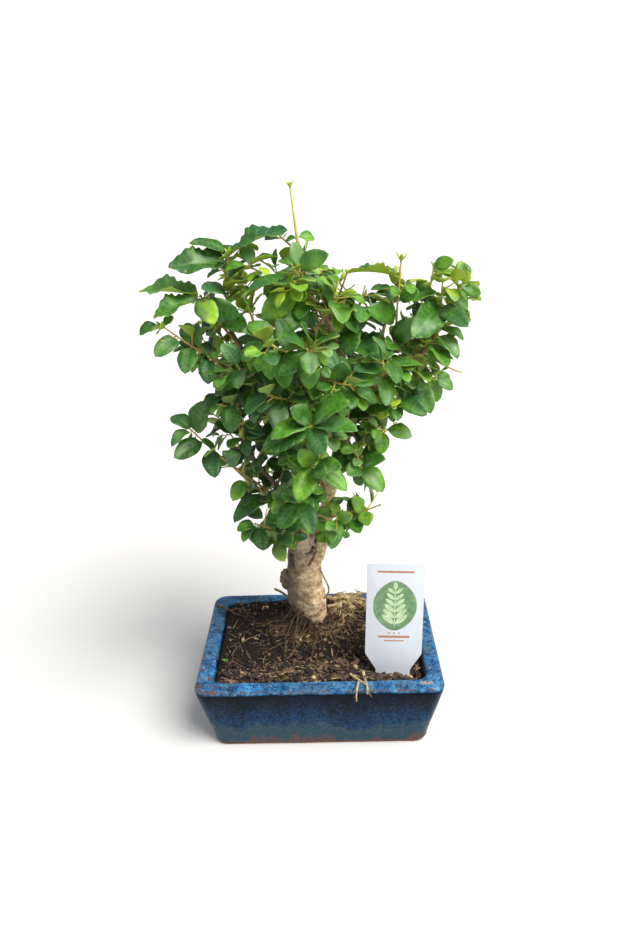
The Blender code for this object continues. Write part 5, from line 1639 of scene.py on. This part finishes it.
@lru_cache(maxsize=None)
def coarse_blade(across, rows):
    """(points as (u, v, side), faces) of the solids' blade, which keeps the leaves clear of each other."""
    bm = bmesh.new()
    pointed_grid(bm, across, rows)
    bmesh.ops.triangulate(bm, faces=bm.faces)
    bmesh.ops.translate(bm, vec=(0, 0, 1), verts=raised_top(bm, bm.faces[:]))
    bm.verts.index_update()
    points = [(vert.co.y + 0.5, vert.co.x * 2, vert.co.z * 2 - 1) for vert in bm.verts]
    faces = [tuple(vert.index for vert in face.verts) for face in bm.faces]
    bm.free()
    return points, faces


def outline_share(u):
    """Half width of a leaf along its length, as a share of its widest."""
    return math.sin(math.pi * min(1, max(0, u)) ** 0.86) ** 0.62


def leaf_point(leaf, u, v, lift):
    """A point of a leaf: u from stem to tip, v from edge to edge, lift above the blade's middle."""
    half = leaf.width / 2 * outline_share(u)
    wave = leaf.wave * abs(v) * math.sin(u * 4 * math.pi + (0 if v > 0 else 1.9))
    rise = abs(v) * half * leaf.fold - leaf.curl * leaf.length * u * u + wave
    local = Vector((v * half, BLADE_START + (leaf.length - BLADE_START) * u, rise + lift))
    return leaf.place + leaf.frame @ local


def blade_points(leaf, template, thickness, start=0.0, grow=0.0):
    wide = leaf._replace(width=leaf.width + 2 * grow, length=leaf.length + grow)
    return [
        leaf_point(wide, start + (1 - start) * u, v, side * thickness / 2)
        for u, v, side in template[0]
    ]


def solid_blade(leaf, thickness, start=0.0, grow=0.0):
    """The leaf as it is in the solids, for finding what crosses it."""
    if leaf.length >= WAVY_LEAF:
        template = coarse_blade(2, 4)
    else:
        template = coarse_blade(2, 3) if leaf.length >= RIBBED_LEAF else coarse_blade(1, 3)
    return BVHTree.FromPolygons(blade_points(leaf, template, thickness, start, grow), template[1])


def seen_in_front(point):
    """Where the sight line from EYE to the point crosses the plane y = 0, as (x, z) in millimetres."""
    crossing = EYE.lerp(point, EYE.y / (EYE.y - point.y))
    return crossing.x / MM, crossing.z / MM


def is_enclosed(spot, edge):
    """Whether a level ray from an (x, z) spot crosses a closed line an odd number of times."""
    x, z = spot
    crossings = 0
    for (xa, za), (xb, zb) in zip(edge, edge[1:] + edge[:1]):
        if (za > z) != (zb > z) and x < xa + (z - za) / (zb - za) * (xb - xa):
            crossings += 1
    return crossings % 2 == 1


def keeps_inside(leaf, edge):
    spots = [leaf_point(leaf, u, v, 0) for u, v in ((1, 0), (0.75, -1), (0.75, 1), (0.4, -1), (0.4, 1))]
    return all(is_enclosed(seen_in_front(spot), edge) for spot in spots)


class Crown:
    """What has been placed so far, so that nothing new crosses it."""

    def __init__(self, wood, twigs):
        graph = bpy.context.evaluated_depsgraph_get()
        self.wood = BVHTree.FromObject(wood, graph)
        self.gap = GAP
        self.twigs = {twig.name: twig_guard(twig) for twig in twigs}
        self.leaves = []

    def is_clear(self, leaf):
        whole = solid_blade(leaf, BLADE_THICKNESS + 2 * self.gap, 0.04, self.gap)
        outer = solid_blade(leaf, BLADE_THICKNESS + 2 * self.gap, 0.24, self.gap)
        if whole.overlap(self.wood) or outer.overlap(self.twigs[leaf.twig]):
            return False
        for name, twig in self.twigs.items():
            if name != leaf.twig and whole.overlap(twig):
                return False
        middle = leaf_point(leaf, 0.5, 0, 0)
        for other, other_middle, other_blade in self.leaves:
            if (middle - other_middle).length > (leaf.length + other.length) * 0.62:
                continue
            probe = outer if other.twig == leaf.twig else whole
            if probe.overlap(other_blade):
                return False
        return True

    def place(self, propose, edge=None, tries=PLACING_TRIES):
        """Keeps the first proposed leaf that is clear of everything and inside the edge."""
        for attempt in range(tries):
            leaf = propose(attempt)
            if (edge is None or keeps_inside(leaf, edge)) and self.is_clear(leaf):
                middle = leaf_point(leaf, 0.5, 0, 0)
                self.leaves.append((leaf, middle, solid_blade(leaf, BLADE_THICKNESS)))
                return leaf
        return None


def twig_guard(twig):
    """A square tube round a twig, a little wider than it."""
    curve = bpy.data.curves.new(twig.name, "CURVE")
    curve.dimensions = "3D"
    curve.bevel_depth = 1
    curve.bevel_resolution = 0
    curve.use_fill_caps = True
    spline = curve.splines.new("POLY")
    spline.points.add(len(twig.route) - 1)
    last = len(twig.route) - 1
    for n, (knot, point) in enumerate(zip(spline.points, twig.route)):
        knot.co = (*point, 1)
        knot.radius = TWIG_RADIUS + (TWIG_TIP_RADIUS - TWIG_RADIUS) * n / last + 2 * GAP
    obj = in_scene(twig.name, curve)
    bpy.context.view_layer.update()
    tree = BVHTree.FromObject(obj, bpy.context.evaluated_depsgraph_get())
    bpy.data.objects.remove(obj)
    bpy.data.curves.remove(curve)
    return tree


def twig_route(start, tip, bough_direction):
    """A twig leaves its bough along it and low, then lifts towards its tip."""
    span = tip - start
    reach = span.length
    first = start + span * 0.3 + bough_direction * reach * 0.1 - Vector((0, 0, 0.05 * reach))
    second = start + span * 0.68 - Vector((0, 0, 0.07 * reach))
    return interpolate_bezier(start, first, second, tip, 7)


def end_is_clear(tree, place, heading, radius):
    """Whether the flat end of a tube here, facing along its heading, lies clear of the wood."""
    across = heading.orthogonal().normalized() * radius
    rim = [Matrix.Rotation(n * math.pi / 4, 3, heading) @ across for n in range(8)]
    for spot in [place, *(place + offset for offset in rim)]:
        nearest, normal, _, distance = tree.find_nearest(spot)
        if (spot - nearest).dot(normal) < 0 or distance < GAP:
            return False
    return True


def trimmed(route, tree, radius):
    """The route from where its tube first clears the wood."""
    steps = 300
    for step in range(steps):
        share = step / steps
        if end_is_clear(tree, along(route, share), direction_along(route, share), radius):
            return [along(route, share + (1 - share) * n / 3) for n in range(4)]
    return route


def grow_twigs(wood):
    """Every twig, from just clear of its bough to its tip, and where on the bough each one springs."""
    tree = BVHTree.FromObject(wood, bpy.context.evaluated_depsgraph_get())
    boughs = bough_routes()
    twigs, roots = [], {}
    for name, (bough, share, tip, pairs, leaf) in TWIGS.items():
        start = along(boughs[bough], share)
        route = twig_route(start, Vector(tip) * MM, direction_along(boughs[bough], share))
        span = SHOOT_SPAN if name == "top_shoot" else LEAFY_SPAN
        twigs.append(Twig(name, trimmed(route, tree, TWIG_RADIUS), pairs, leaf * MM, span))
        roots[name] = start
    return twigs, roots


def leaf_frame(heading, facing):
    """Columns: across the blade, along it, and out of its upper face."""
    along_blade = heading.normalized()
    upper = (facing - along_blade * facing.dot(along_blade)).normalized()
    return Matrix((along_blade.cross(upper), along_blade, upper)).transposed()


def width_share(length):
    """A leaf's width for its length: short leaves are nearly round and long ones narrow."""
    grown = min(1, max(0, (length - SHORT_LEAF) / (WAVY_LEAF - SHORT_LEAF)))
    return SHORT_LEAF_SHARE + (LONG_LEAF_SHARE - SHORT_LEAF_SHARE) * grown


def proposed_leaf(rng, twig, share, radial, size, spread, attempt):
    """One leaf at a node of a twig; later attempts stray further and come out smaller."""
    place = along(twig.route, share)
    tangent = direction_along(twig.route, share)
    stray = 0.16 + 0.07 * attempt
    angle = spread + rng.uniform(-stray, stray)
    wander = scattered(rng, -stray, stray)
    heading = tangent * math.cos(angle) + radial * math.sin(angle) + wander
    heading.z -= rng.uniform(0.05, 0.3)
    outward = Vector((place.x - TRUNK_FOOT.x, place.y - TRUNK_FOOT.y, 0)).normalized()
    low = min(1, max(0, (CROWN_TOP - place.z) / CROWN_HEIGHT))
    facing = UP + outward * (0.25 + 0.75 * low) + wander * 1.4
    length = size * (1 - 0.025 * attempt)
    width = length * width_share(length) * rng.uniform(0.92, 1.12)
    wave = length * rng.uniform(0.02, 0.05) if length >= WAVY_LEAF else 0
    return Leaf(
        twig.name, place, leaf_frame(heading, facing), length, width,
        rng.uniform(0.25, 0.5), rng.uniform(0.08, 0.24), wave,
    )


def shown_leaf(rng, twig, share, tip, front, attempt):
    """A leaf of the outline, drawn from its twig to its tip; later attempts let the tip stray."""
    place = along(twig.route, share)
    stray = 1.2 * MM * attempt
    chord = Vector(tip) * MM - place + scattered(rng, -stray, stray)
    turn = math.radians(6) * attempt * rng.uniform(-1, 1)
    facing = Vector((0, -front, 1.1 - front)) + Vector((math.sin(turn), 0, 0))
    turned = leaf_frame(chord, facing) @ Matrix.Rotation(math.atan(SHOWN_CURL), 3, "X")
    length = chord.length / math.hypot(1, SHOWN_CURL)
    width = length * width_share(length) * rng.uniform(0.95, 1.1)
    fold = rng.uniform(0.2, 0.3) + 0.4 * (1 - front)
    wave = length * 0.045 if length >= WAVY_LEAF else 0
    return Leaf(twig.name, place, turned, length, width, fold, SHOWN_CURL, wave)


def pair_radials(tangent, turn):
    """The two opposite ways out of a twig for one pair of leaves."""
    level = tangent.cross(UP)
    if level.length < 0.2:
        level = Vector((1, 0, 0)) - tangent * tangent.x
    level.normalize()
    raised = level.cross(tangent).normalized()
    radial = level * math.cos(turn) + raised * math.sin(turn)
    return radial, -radial


def grow_leaves(crown, twigs):
    """The solids' leaves: the shown ones, then opposite pairs along each twig."""
    for twig in twigs:
        for number, (share, tip, front) in enumerate(SHOWN_LEAVES.get(twig.name, [])):
            rng = random.Random(f"{SEED} {twig.name} shown {number}")
            youth = LEAF_YOUTH.get((twig.name, number))
            crown.place(
                lambda attempt: shown_leaf(rng, twig, share, tip, front, attempt)._replace(youth=youth)
            )
    for twig in twigs:
        first, last = twig.span
        nodes = [first + (last - first) * n / twig.pairs for n in range(twig.pairs)] + [last]
        turn = random.Random(f"{SEED} {twig.name}").uniform(-0.3, 0.3)
        for number, share in enumerate(nodes):
            at_tip = number == twig.pairs
            spread = 0.75 if at_tip else 1.05
            middle = 1 - abs(number / twig.pairs - 0.55)
            size = twig.leaf_length * (0.8 if at_tip else 0.84 + 0.22 * middle)
            for side, radial in enumerate(pair_radials(direction_along(twig.route, share), turn)):
                rng = random.Random(f"{SEED} {twig.name} {number} {side}")
                crown.place(
                    lambda attempt: proposed_leaf(rng, twig, share, radial, size, spread, attempt),
                    CROWN_EDGE,
                )
            turn += math.radians(78)


def grow_side_shoots(crown, twigs):
    """Short side shoots with small round leaves, which fill the crown between the solids' leaves."""
    crown.gap = 0.05 * MM
    shoots = {}
    for twig in twigs:
        if twig.name == "top_shoot":
            continue
        rng = random.Random(f"{SEED} {twig.name} shoots")
        shoots[twig.name] = []
        for number in range(SIDE_SHOOTS):
            share = 0.04 + 0.88 * (number + rng.uniform(0.2, 0.8)) / SIDE_SHOOTS
            tangent = direction_along(twig.route, share)
            radial = pair_radials(tangent, rng.uniform(0, math.pi))[number % 2]
            start = along(twig.route, share)
            way = (tangent * 0.55 + radial + UP * 0.25).normalized()
            route = twig_route(start, start + way * rng.uniform(6, 14) * MM, tangent)
            shoot = Twig(twig.name, route, 1, rng.uniform(8.5, 14) * MM, (0.4, 0.95))
            if grow_shoot_leaves(crown, shoot, rng):
                shoots[twig.name].append(shoot)
    return shoots


def grow_shoot_leaves(crown, shoot, rng):
    grown = 0
    turn = rng.uniform(0, math.pi)
    first, last = shoot.span
    for n in range(shoot.pairs + 1):
        share = first + (last - first) * n / shoot.pairs
        spread, grow = (0.7, 0.85) if n == shoot.pairs else (1.0, 1.0)
        for radial in pair_radials(direction_along(shoot.route, share), turn):
            size = shoot.leaf_length * grow
            leaf = crown.place(
                lambda attempt: proposed_leaf(rng, shoot, share, radial, size, spread, attempt),
                CROWN_EDGE, 5,
            )
            grown += leaf is not None
        turn += math.radians(85)
    return grown


def grow_bough_shoots(crown):
    """Shoots that spring from the boughs themselves and close the crown's inside."""
    shoots = []
    for name, count in BOUGH_SHOOTS.items():
        route = bough_routes()[name]
        rng = random.Random(f"{SEED} {name} shoots")
        for number in range(count):
            share = 0.32 + 0.66 * (number + rng.uniform(0.1, 0.9)) / count
            tangent = direction_along(route, share)
            start = along(route, share)
            radial = pair_radials(tangent, rng.uniform(0, math.pi))[number % 2]
            way = (tangent * 0.4 + radial + UP * rng.uniform(0, 0.5)).normalized()
            lead = start + way * rng.uniform(12, 27) * MM
            stem = twig_route(start, lead, tangent)
            shoot = Twig(f"{name} {number}", stem, 2, rng.uniform(11, 17) * MM, (0.3, 0.95))
            guard = twig_guard(shoot)
            near = [blade for _, middle, blade in crown.leaves if (middle - lead).length < NEARBY]
            if any(guard.overlap(blade) for blade in near):
                continue
            crown.twigs[shoot.name] = guard
            if grow_shoot_leaves(crown, shoot, rng):
                shoots.append(shoot)
    return shoots


# Foliage


@lru_cache(maxsize=None)
def blade_template(across, rows):
    """A closed blade drawn to a point at both ends; a point's place is (v, u, side)."""
    bm = toned_mesh()
    pointed_grid(bm, across, rows)
    for vert in bm.verts:
        u = vert.co.y + 0.5
        v = vert.co.x * 2
        vert.co = (math.copysign(abs(v) ** 1.25, v), (u + 0.5 - 0.5 * math.cos(math.pi * u)) / 2, -1)
    bmesh.ops.translate(bm, vec=(0, 0, 2), verts=raised_top(bm, bm.faces[:]))
    bmesh.ops.recalc_face_normals(bm, faces=bm.faces)
    return kept_template(bm)


def fine_leaf_point(leaf, u, v, side, start, ripple):
    """A point of a finished leaf: crowned between a sunken midrib and a rippled margin."""
    reach = abs(v)
    phase = ripple + (0 if v > 0 else 1.9)
    half = leaf.width / 2 * math.sin(math.pi * u ** (0.86 + 0.045 * ripple)) ** (0.48 + 0.028 * ripple)
    bend = 0.08 * math.sin(2.1 * ripple) * leaf.length * u * u
    twist = 0.28 * math.sin(3.7 * ripple) * u
    if leaf.wave:
        scallop = math.sin(u * SCALLOPS * math.pi + phase) * math.sin(math.pi * u) ** 0.3
        half *= 1 + 0.045 * scallop
        wave = leaf.wave * reach * math.sin(u * 4 * math.pi + (0 if v > 0 else 1.9))
        wave += 0.4 * MM * reach ** 2.5 * scallop
    else:
        wave = leaf.length * 0.036 * reach ** 2 * math.sin(u * (7 + ripple) + phase) * math.sin(math.pi * u)
    crown = 0.45 * leaf.fold * half * reach * (1 - reach)
    midrib = 0.12 * MM * (1 - u) * max(0, 1 - reach * 4)
    rise = reach * half * leaf.fold * (1 - 0.5 * u * u) + crown - leaf.curl * leaf.length * u * u + wave
    rise += v * half * twist
    sunken = midrib if side > 0 else midrib * 1.6
    rise += side * FINE_BLADE_THICKNESS / 2 * (1 - 0.55 * reach ** 3) - sunken
    return leaf.place + leaf.frame @ Vector((v * half + bend, start + (leaf.length - start) * u, rise))


def add_blade(bm, leaf, template, tone, start, ripple):
    layer = bm.verts.layers.float_vector["blade"]
    for vert in copied(bm, template, tone):
        v, u, side = vert.co
        vert[layer] = vert.co
        vert.co = fine_leaf_point(leaf, u, v, side, start, ripple)


def add_leaf(bm, leaf, tone, ripple):
    """Adds a leaf: its blade and the short stalk that carries it."""
    stalk = min(PETIOLE, leaf.length * 0.12)
    template = blade_template(8, 40) if leaf.wave else blade_template(4, 8)
    add_blade(bm, leaf, template, tone, stalk, ripple)
    inner = leaf.place + leaf.frame @ Vector((0, 2.2 * stalk, -leaf.curl * leaf.length * 0.04 - 0.1 * MM))
    add_rod(bm, [leaf.place.copy(), inner], [0.32 * MM, 0.24 * MM], 4, (0.75, 0.9), 1)


def leaf_tone(leaf, youth, rng):
    if leaf.youth is not None:
        return leaf.youth
    small = min(1, max(0, 1 - (leaf.length - 9 * MM) / (9 * MM)))
    return min(0.85, max(0.02, youth + 0.12 * small + rng.gauss(0, 0.09 + 0.13 * small)))


def add_leaves(bm, crown, name, youth, rng):
    """Adds all the leaves of one twig or shoot."""
    for leaf, _, _ in crown.leaves:
        if leaf.twig == name:
            add_leaf(bm, leaf, leaf_tone(leaf, youth, rng), rng.uniform(0, 6))


def twig_youth(name, route):
    # Painted light: leaves brighten towards the right, where the key light falls.
    youth_and_painted_light = 0.37 + 0.15 * route[-1].x / (90 * MM)
    return TWIG_YOUTH.get(name, youth_and_painted_light)


def make_leafy_twigs(crown, twigs, roots, shoots, leaf_skin, twig_skin):
    for twig in twigs:
        rng = random.Random(f"{SEED} {twig.name} looks")
        bm = toned_mesh()
        youth = twig_youth(twig.name, twig.route)
        route = route_through([roots[twig.name], *twig.route], 2.5 * MM)
        radii = tapered(len(route), TWIG_RADIUS, TWIG_TIP_RADIUS * 0.7)
        green = (0.3 + 0.4 * youth, 0.45 + 0.8 * youth)
        if twig.name in GREEN_STEMS:
            green = (0.8, 1.0)
        add_rod(bm, route, radii, 7, green, 1)
        for shoot in shoots.get(twig.name, []):
            fine = route_through(shoot.route, 2.2 * MM)
            add_strand(bm, fine, 0.5 * MM, 0.34 * MM, 5, (green[1], 0.85), 1)
        add_leaves(bm, crown, twig.name, youth, rng)
        add_bud(bm, route)
        if twig.name in YOUNG_TIPS:
            add_young_tip(bm, route, 5.4 * MM if twig.name == "right_spire" else 3.6 * MM)
        smooth(bm)
        piece("leafy_twig_" + twig.name, bm, [leaf_skin, twig_skin], ["twig_" + twig.name])


def make_inner_shoots(crown, shoots, leaf_skin, twig_skin):
    rng = random.Random(f"{SEED} inner looks")
    bm = toned_mesh()
    for shoot in shoots:
        fine = route_through(shoot.route, 2.4 * MM)
        add_strand(bm, fine, 0.7 * MM, 0.4 * MM, 5, (0.25, 0.6), 1)
        # Inner leaves are older and, as painted shade for the crown's inside, 0.22 darker.
        youth = twig_youth(shoot.name, shoot.route) - 0.22
        add_leaves(bm, crown, shoot.name, youth, rng)
    smooth(bm)
    return piece("inner_shoots", bm, [leaf_skin, twig_skin])


def add_young_tip(bm, route, longest):
    """Two pairs of tiny new leaves that spread from a twig's tip."""
    way = (route[-1] - route[-2]).normalized()
    tip = route[-1] - way * 0.5 * MM
    for n in range(4):
        radial = pair_radials(way, 0.4 + n // 2 * 1.5)[n % 2]
        heading = radial * (0.9 - 0.45 * (n // 2)) + way
        length = longest * (1 - 0.28 * (n // 2))
        turned = leaf_frame(heading, way - radial * 0.6)
        add_leaf(bm, Leaf("tip", tip, turned, length, length * 0.5, 0.35, -0.1, 0), 0.97 - 0.04 * n, n)


def add_bud(bm, route):
    """The tip bud: a pair of tiny leaves still folded together."""
    tip = route[-1]
    way = (route[-1] - route[-2]).normalized()
    turned = way.to_track_quat("Z", "Y").to_matrix()
    for vert in copied(bm, lump_template(1), 0.85):
        unit = vert.co.copy()
        vert.co = tip + turned @ Vector((unit.x * 0.5, unit.y * 0.7, unit.z * 1.6 - 0.6)) * MM


# Small growth and dirt


def make_weeds(leaf_skin, trees):
    """A seedling at the front left, and small weeds behind the trunk's right side."""
    rng = random.Random(SEED + 5)
    bm = toned_mesh()
    spots = [(-59.7, -22.3, 2.2), (8, 45, 3.2), (12, 46.5, 3.6), (16, 45, 3.0), (11, 43.5, 2.6)]
    for x, y, size in spots:
        base = Vector((x * MM, y * MM, ground_level(trees, x * MM, y * MM)))
        for n in range(4):
            angle = n * math.pi / 2 + rng.uniform(-0.4, 0.4)
            heading = Vector((math.cos(angle), math.sin(angle), rng.uniform(0.3, 0.9)))
            tip_lift = UP * rng.uniform(0.6, 1.4) * MM
            turned = leaf_frame(heading, UP - heading * 0.2)
            length = size * rng.uniform(0.8, 1.15) * MM
            leaf = Leaf("weed", base + tip_lift, turned, length, length * 0.62, 0.2, 0.15, 0)
            add_blade(bm, leaf, blade_template(4, 5), rng.uniform(0.4, 0.65), 0, 0)
            add_rod(bm, [base - UP * 0.5 * MM, base + tip_lift], [0.2 * MM, 0.15 * MM], 5, (0.7, 0.7))
    smooth(bm)
    return piece("weeds", bm, [leaf_skin])


def make_crust(finish, trees):
    """Pale crusts of dried earth on the front lip, most of them near its right end."""
    rng = random.Random(SEED + 6)
    bm = toned_mesh()
    for _ in range(CRUST_GRAINS):
        x = 63.5 + rng.gauss(0, 1.9)
        y = min(-46.6, -48.3 + rng.gauss(0, 0.8))
        add_grain(bm, rng, Vector((x * MM, y * MM, 0)), rng.uniform(0.2, 0.6) * MM, trees)
    for _ in range(LOOSE_GRAINS):
        place = Vector((rng.uniform(-66, 66) * MM, rng.uniform(-51, -46) * MM, 0))
        add_grain(bm, rng, place, rng.uniform(0.15, 0.45) * MM, trees)
    return piece("earth_crusts", bm, [finish])


def add_grain(bm, rng, place, radius, trees):
    place.z = ground_level(trees, place.x, place.y) + radius * 0.15
    drift = scattered(rng, 0, NOISE_FIELD)
    for vert in copied(bm, lump_template(1), rng.uniform(0.2, 1)):
        unit = vert.co * (1 + 0.5 * noise.noise(vert.co * 1.4 + drift))
        vert.co = place + Vector((unit.x, unit.y, unit.z * 0.5)) * radius


# Studio


def make_floor():
    made = Finish("studio floor")
    grey = made.mixed(made.cloud(3), (0.74, 0.74, 0.74), (0.76, 0.76, 0.76))
    rough = made.stretch(made.cloud(5), 0, 1, 0.85, 0.95)
    bm = bmesh.new()
    bmesh.ops.create_grid(bm, x_segments=8, y_segments=8, size=40)
    mesh = mesh_of("floor", bm)
    mesh.materials.append(made.dressed(ior=1.3, base_color=grey, roughness=rough))
    floor = in_scene("floor", mesh)


def make_studio():
    """Soft light from the upper right and front, and a paler one from all round."""
    scene = bpy.context.scene
    world = bpy.data.worlds.new("studio")
    world.use_nodes = True
    sky = Nodes(world.node_tree)
    background = world.node_tree.nodes["Background"].inputs
    background["Color"].default_value = (0.94, 0.965, 1.0, 1)
    seen = sky.add("ShaderNodeLightPath").outputs["Is Camera Ray"]
    sky.fill(background["Strength"], sky.stretch(seen, 0, 1, DOME_LIGHT, BACKDROP_LIGHT))
    scene.world = world
    scene.view_settings.view_transform = "Standard"
    lamp = bpy.data.lights.new("key light", "SUN")
    lamp.angle = KEY_SIZE
    lamp.energy = KEY_LIGHT
    lamp.color = (1.0, 0.97, 0.92)
    made = in_scene("key light", lamp)
    made.rotation_mode = "QUATERNION"
    made.rotation_quaternion = TOWARDS_KEY.to_track_quat("Z", "Y")


def make_camera():
    data = bpy.data.cameras.new("camera")
    data.lens = CAMERA_LENS
    data.clip_start = 0.01
    made = in_scene("camera", data)
    made.matrix_world = (
        Matrix.Translation(EYE) @ Matrix.Rotation(CAMERA_LEFT, 4, "Z")
        @ Matrix.Rotation(math.pi / 2 - CAMERA_DOWN, 4, "X") @ Matrix.Rotation(CAMERA_ROLL, 4, "Z")
    )
    bpy.context.scene.camera = made


def main():
    make_camera()
    make_studio()
    make_floor()
    nodes = frame["nodes"]
    wood = nodes["trunk_boughs_and_roots"]
    leaf_skin, twig_skin, bark = leaf_finish(), twig_bark_finish(), bark_finish()
    roots_skin, compost, flakes = root_finish(), soil_finish(), flake_finish()
    twigs, springs = grow_twigs(wood)
    crown = Crown(wood, twigs)
    grow_leaves(crown, twigs)
    shoots = grow_side_shoots(crown, twigs)
    inner = grow_bough_shoots(crown)
    make_leafy_twigs(crown, twigs, springs, shoots, leaf_skin, twig_skin)
    make_inner_shoots(crown, inner, leaf_skin, twig_skin)
    pot = make_pot(glaze_finish())
    soil = make_soil(compost)
    ground = seen_from_above(soil, pot)
    make_flakes(flakes, ground)
    make_crumbs(flakes, ground)
    make_fibres(roots_skin, ground)
    earth = plain_finish("dried earth", (0.16, 0.13, 0.11), (0.52, 0.47, 0.41), 1.5 * MM, 0.85, 0.5)
    make_crust(earth, ground)
    make_weeds(leaf_skin, ground)
    make_trunk(bark)
    make_boughs(bark)
    make_surface_roots(roots_skin, ground)
    make_dry_roots(roots_skin, ground)
    make_label()
    mesh_plastic = plain_finish("drain mesh", (0.03, 0.03, 0.03), (0.06, 0.06, 0.06), 2 * MM, 0.5, 0.6)
    for side in ("left", "right"):
        nodes["drain_screen_" + side].data.materials.clear()
        nodes["drain_screen_" + side].data.materials.append(mesh_plastic)


main()
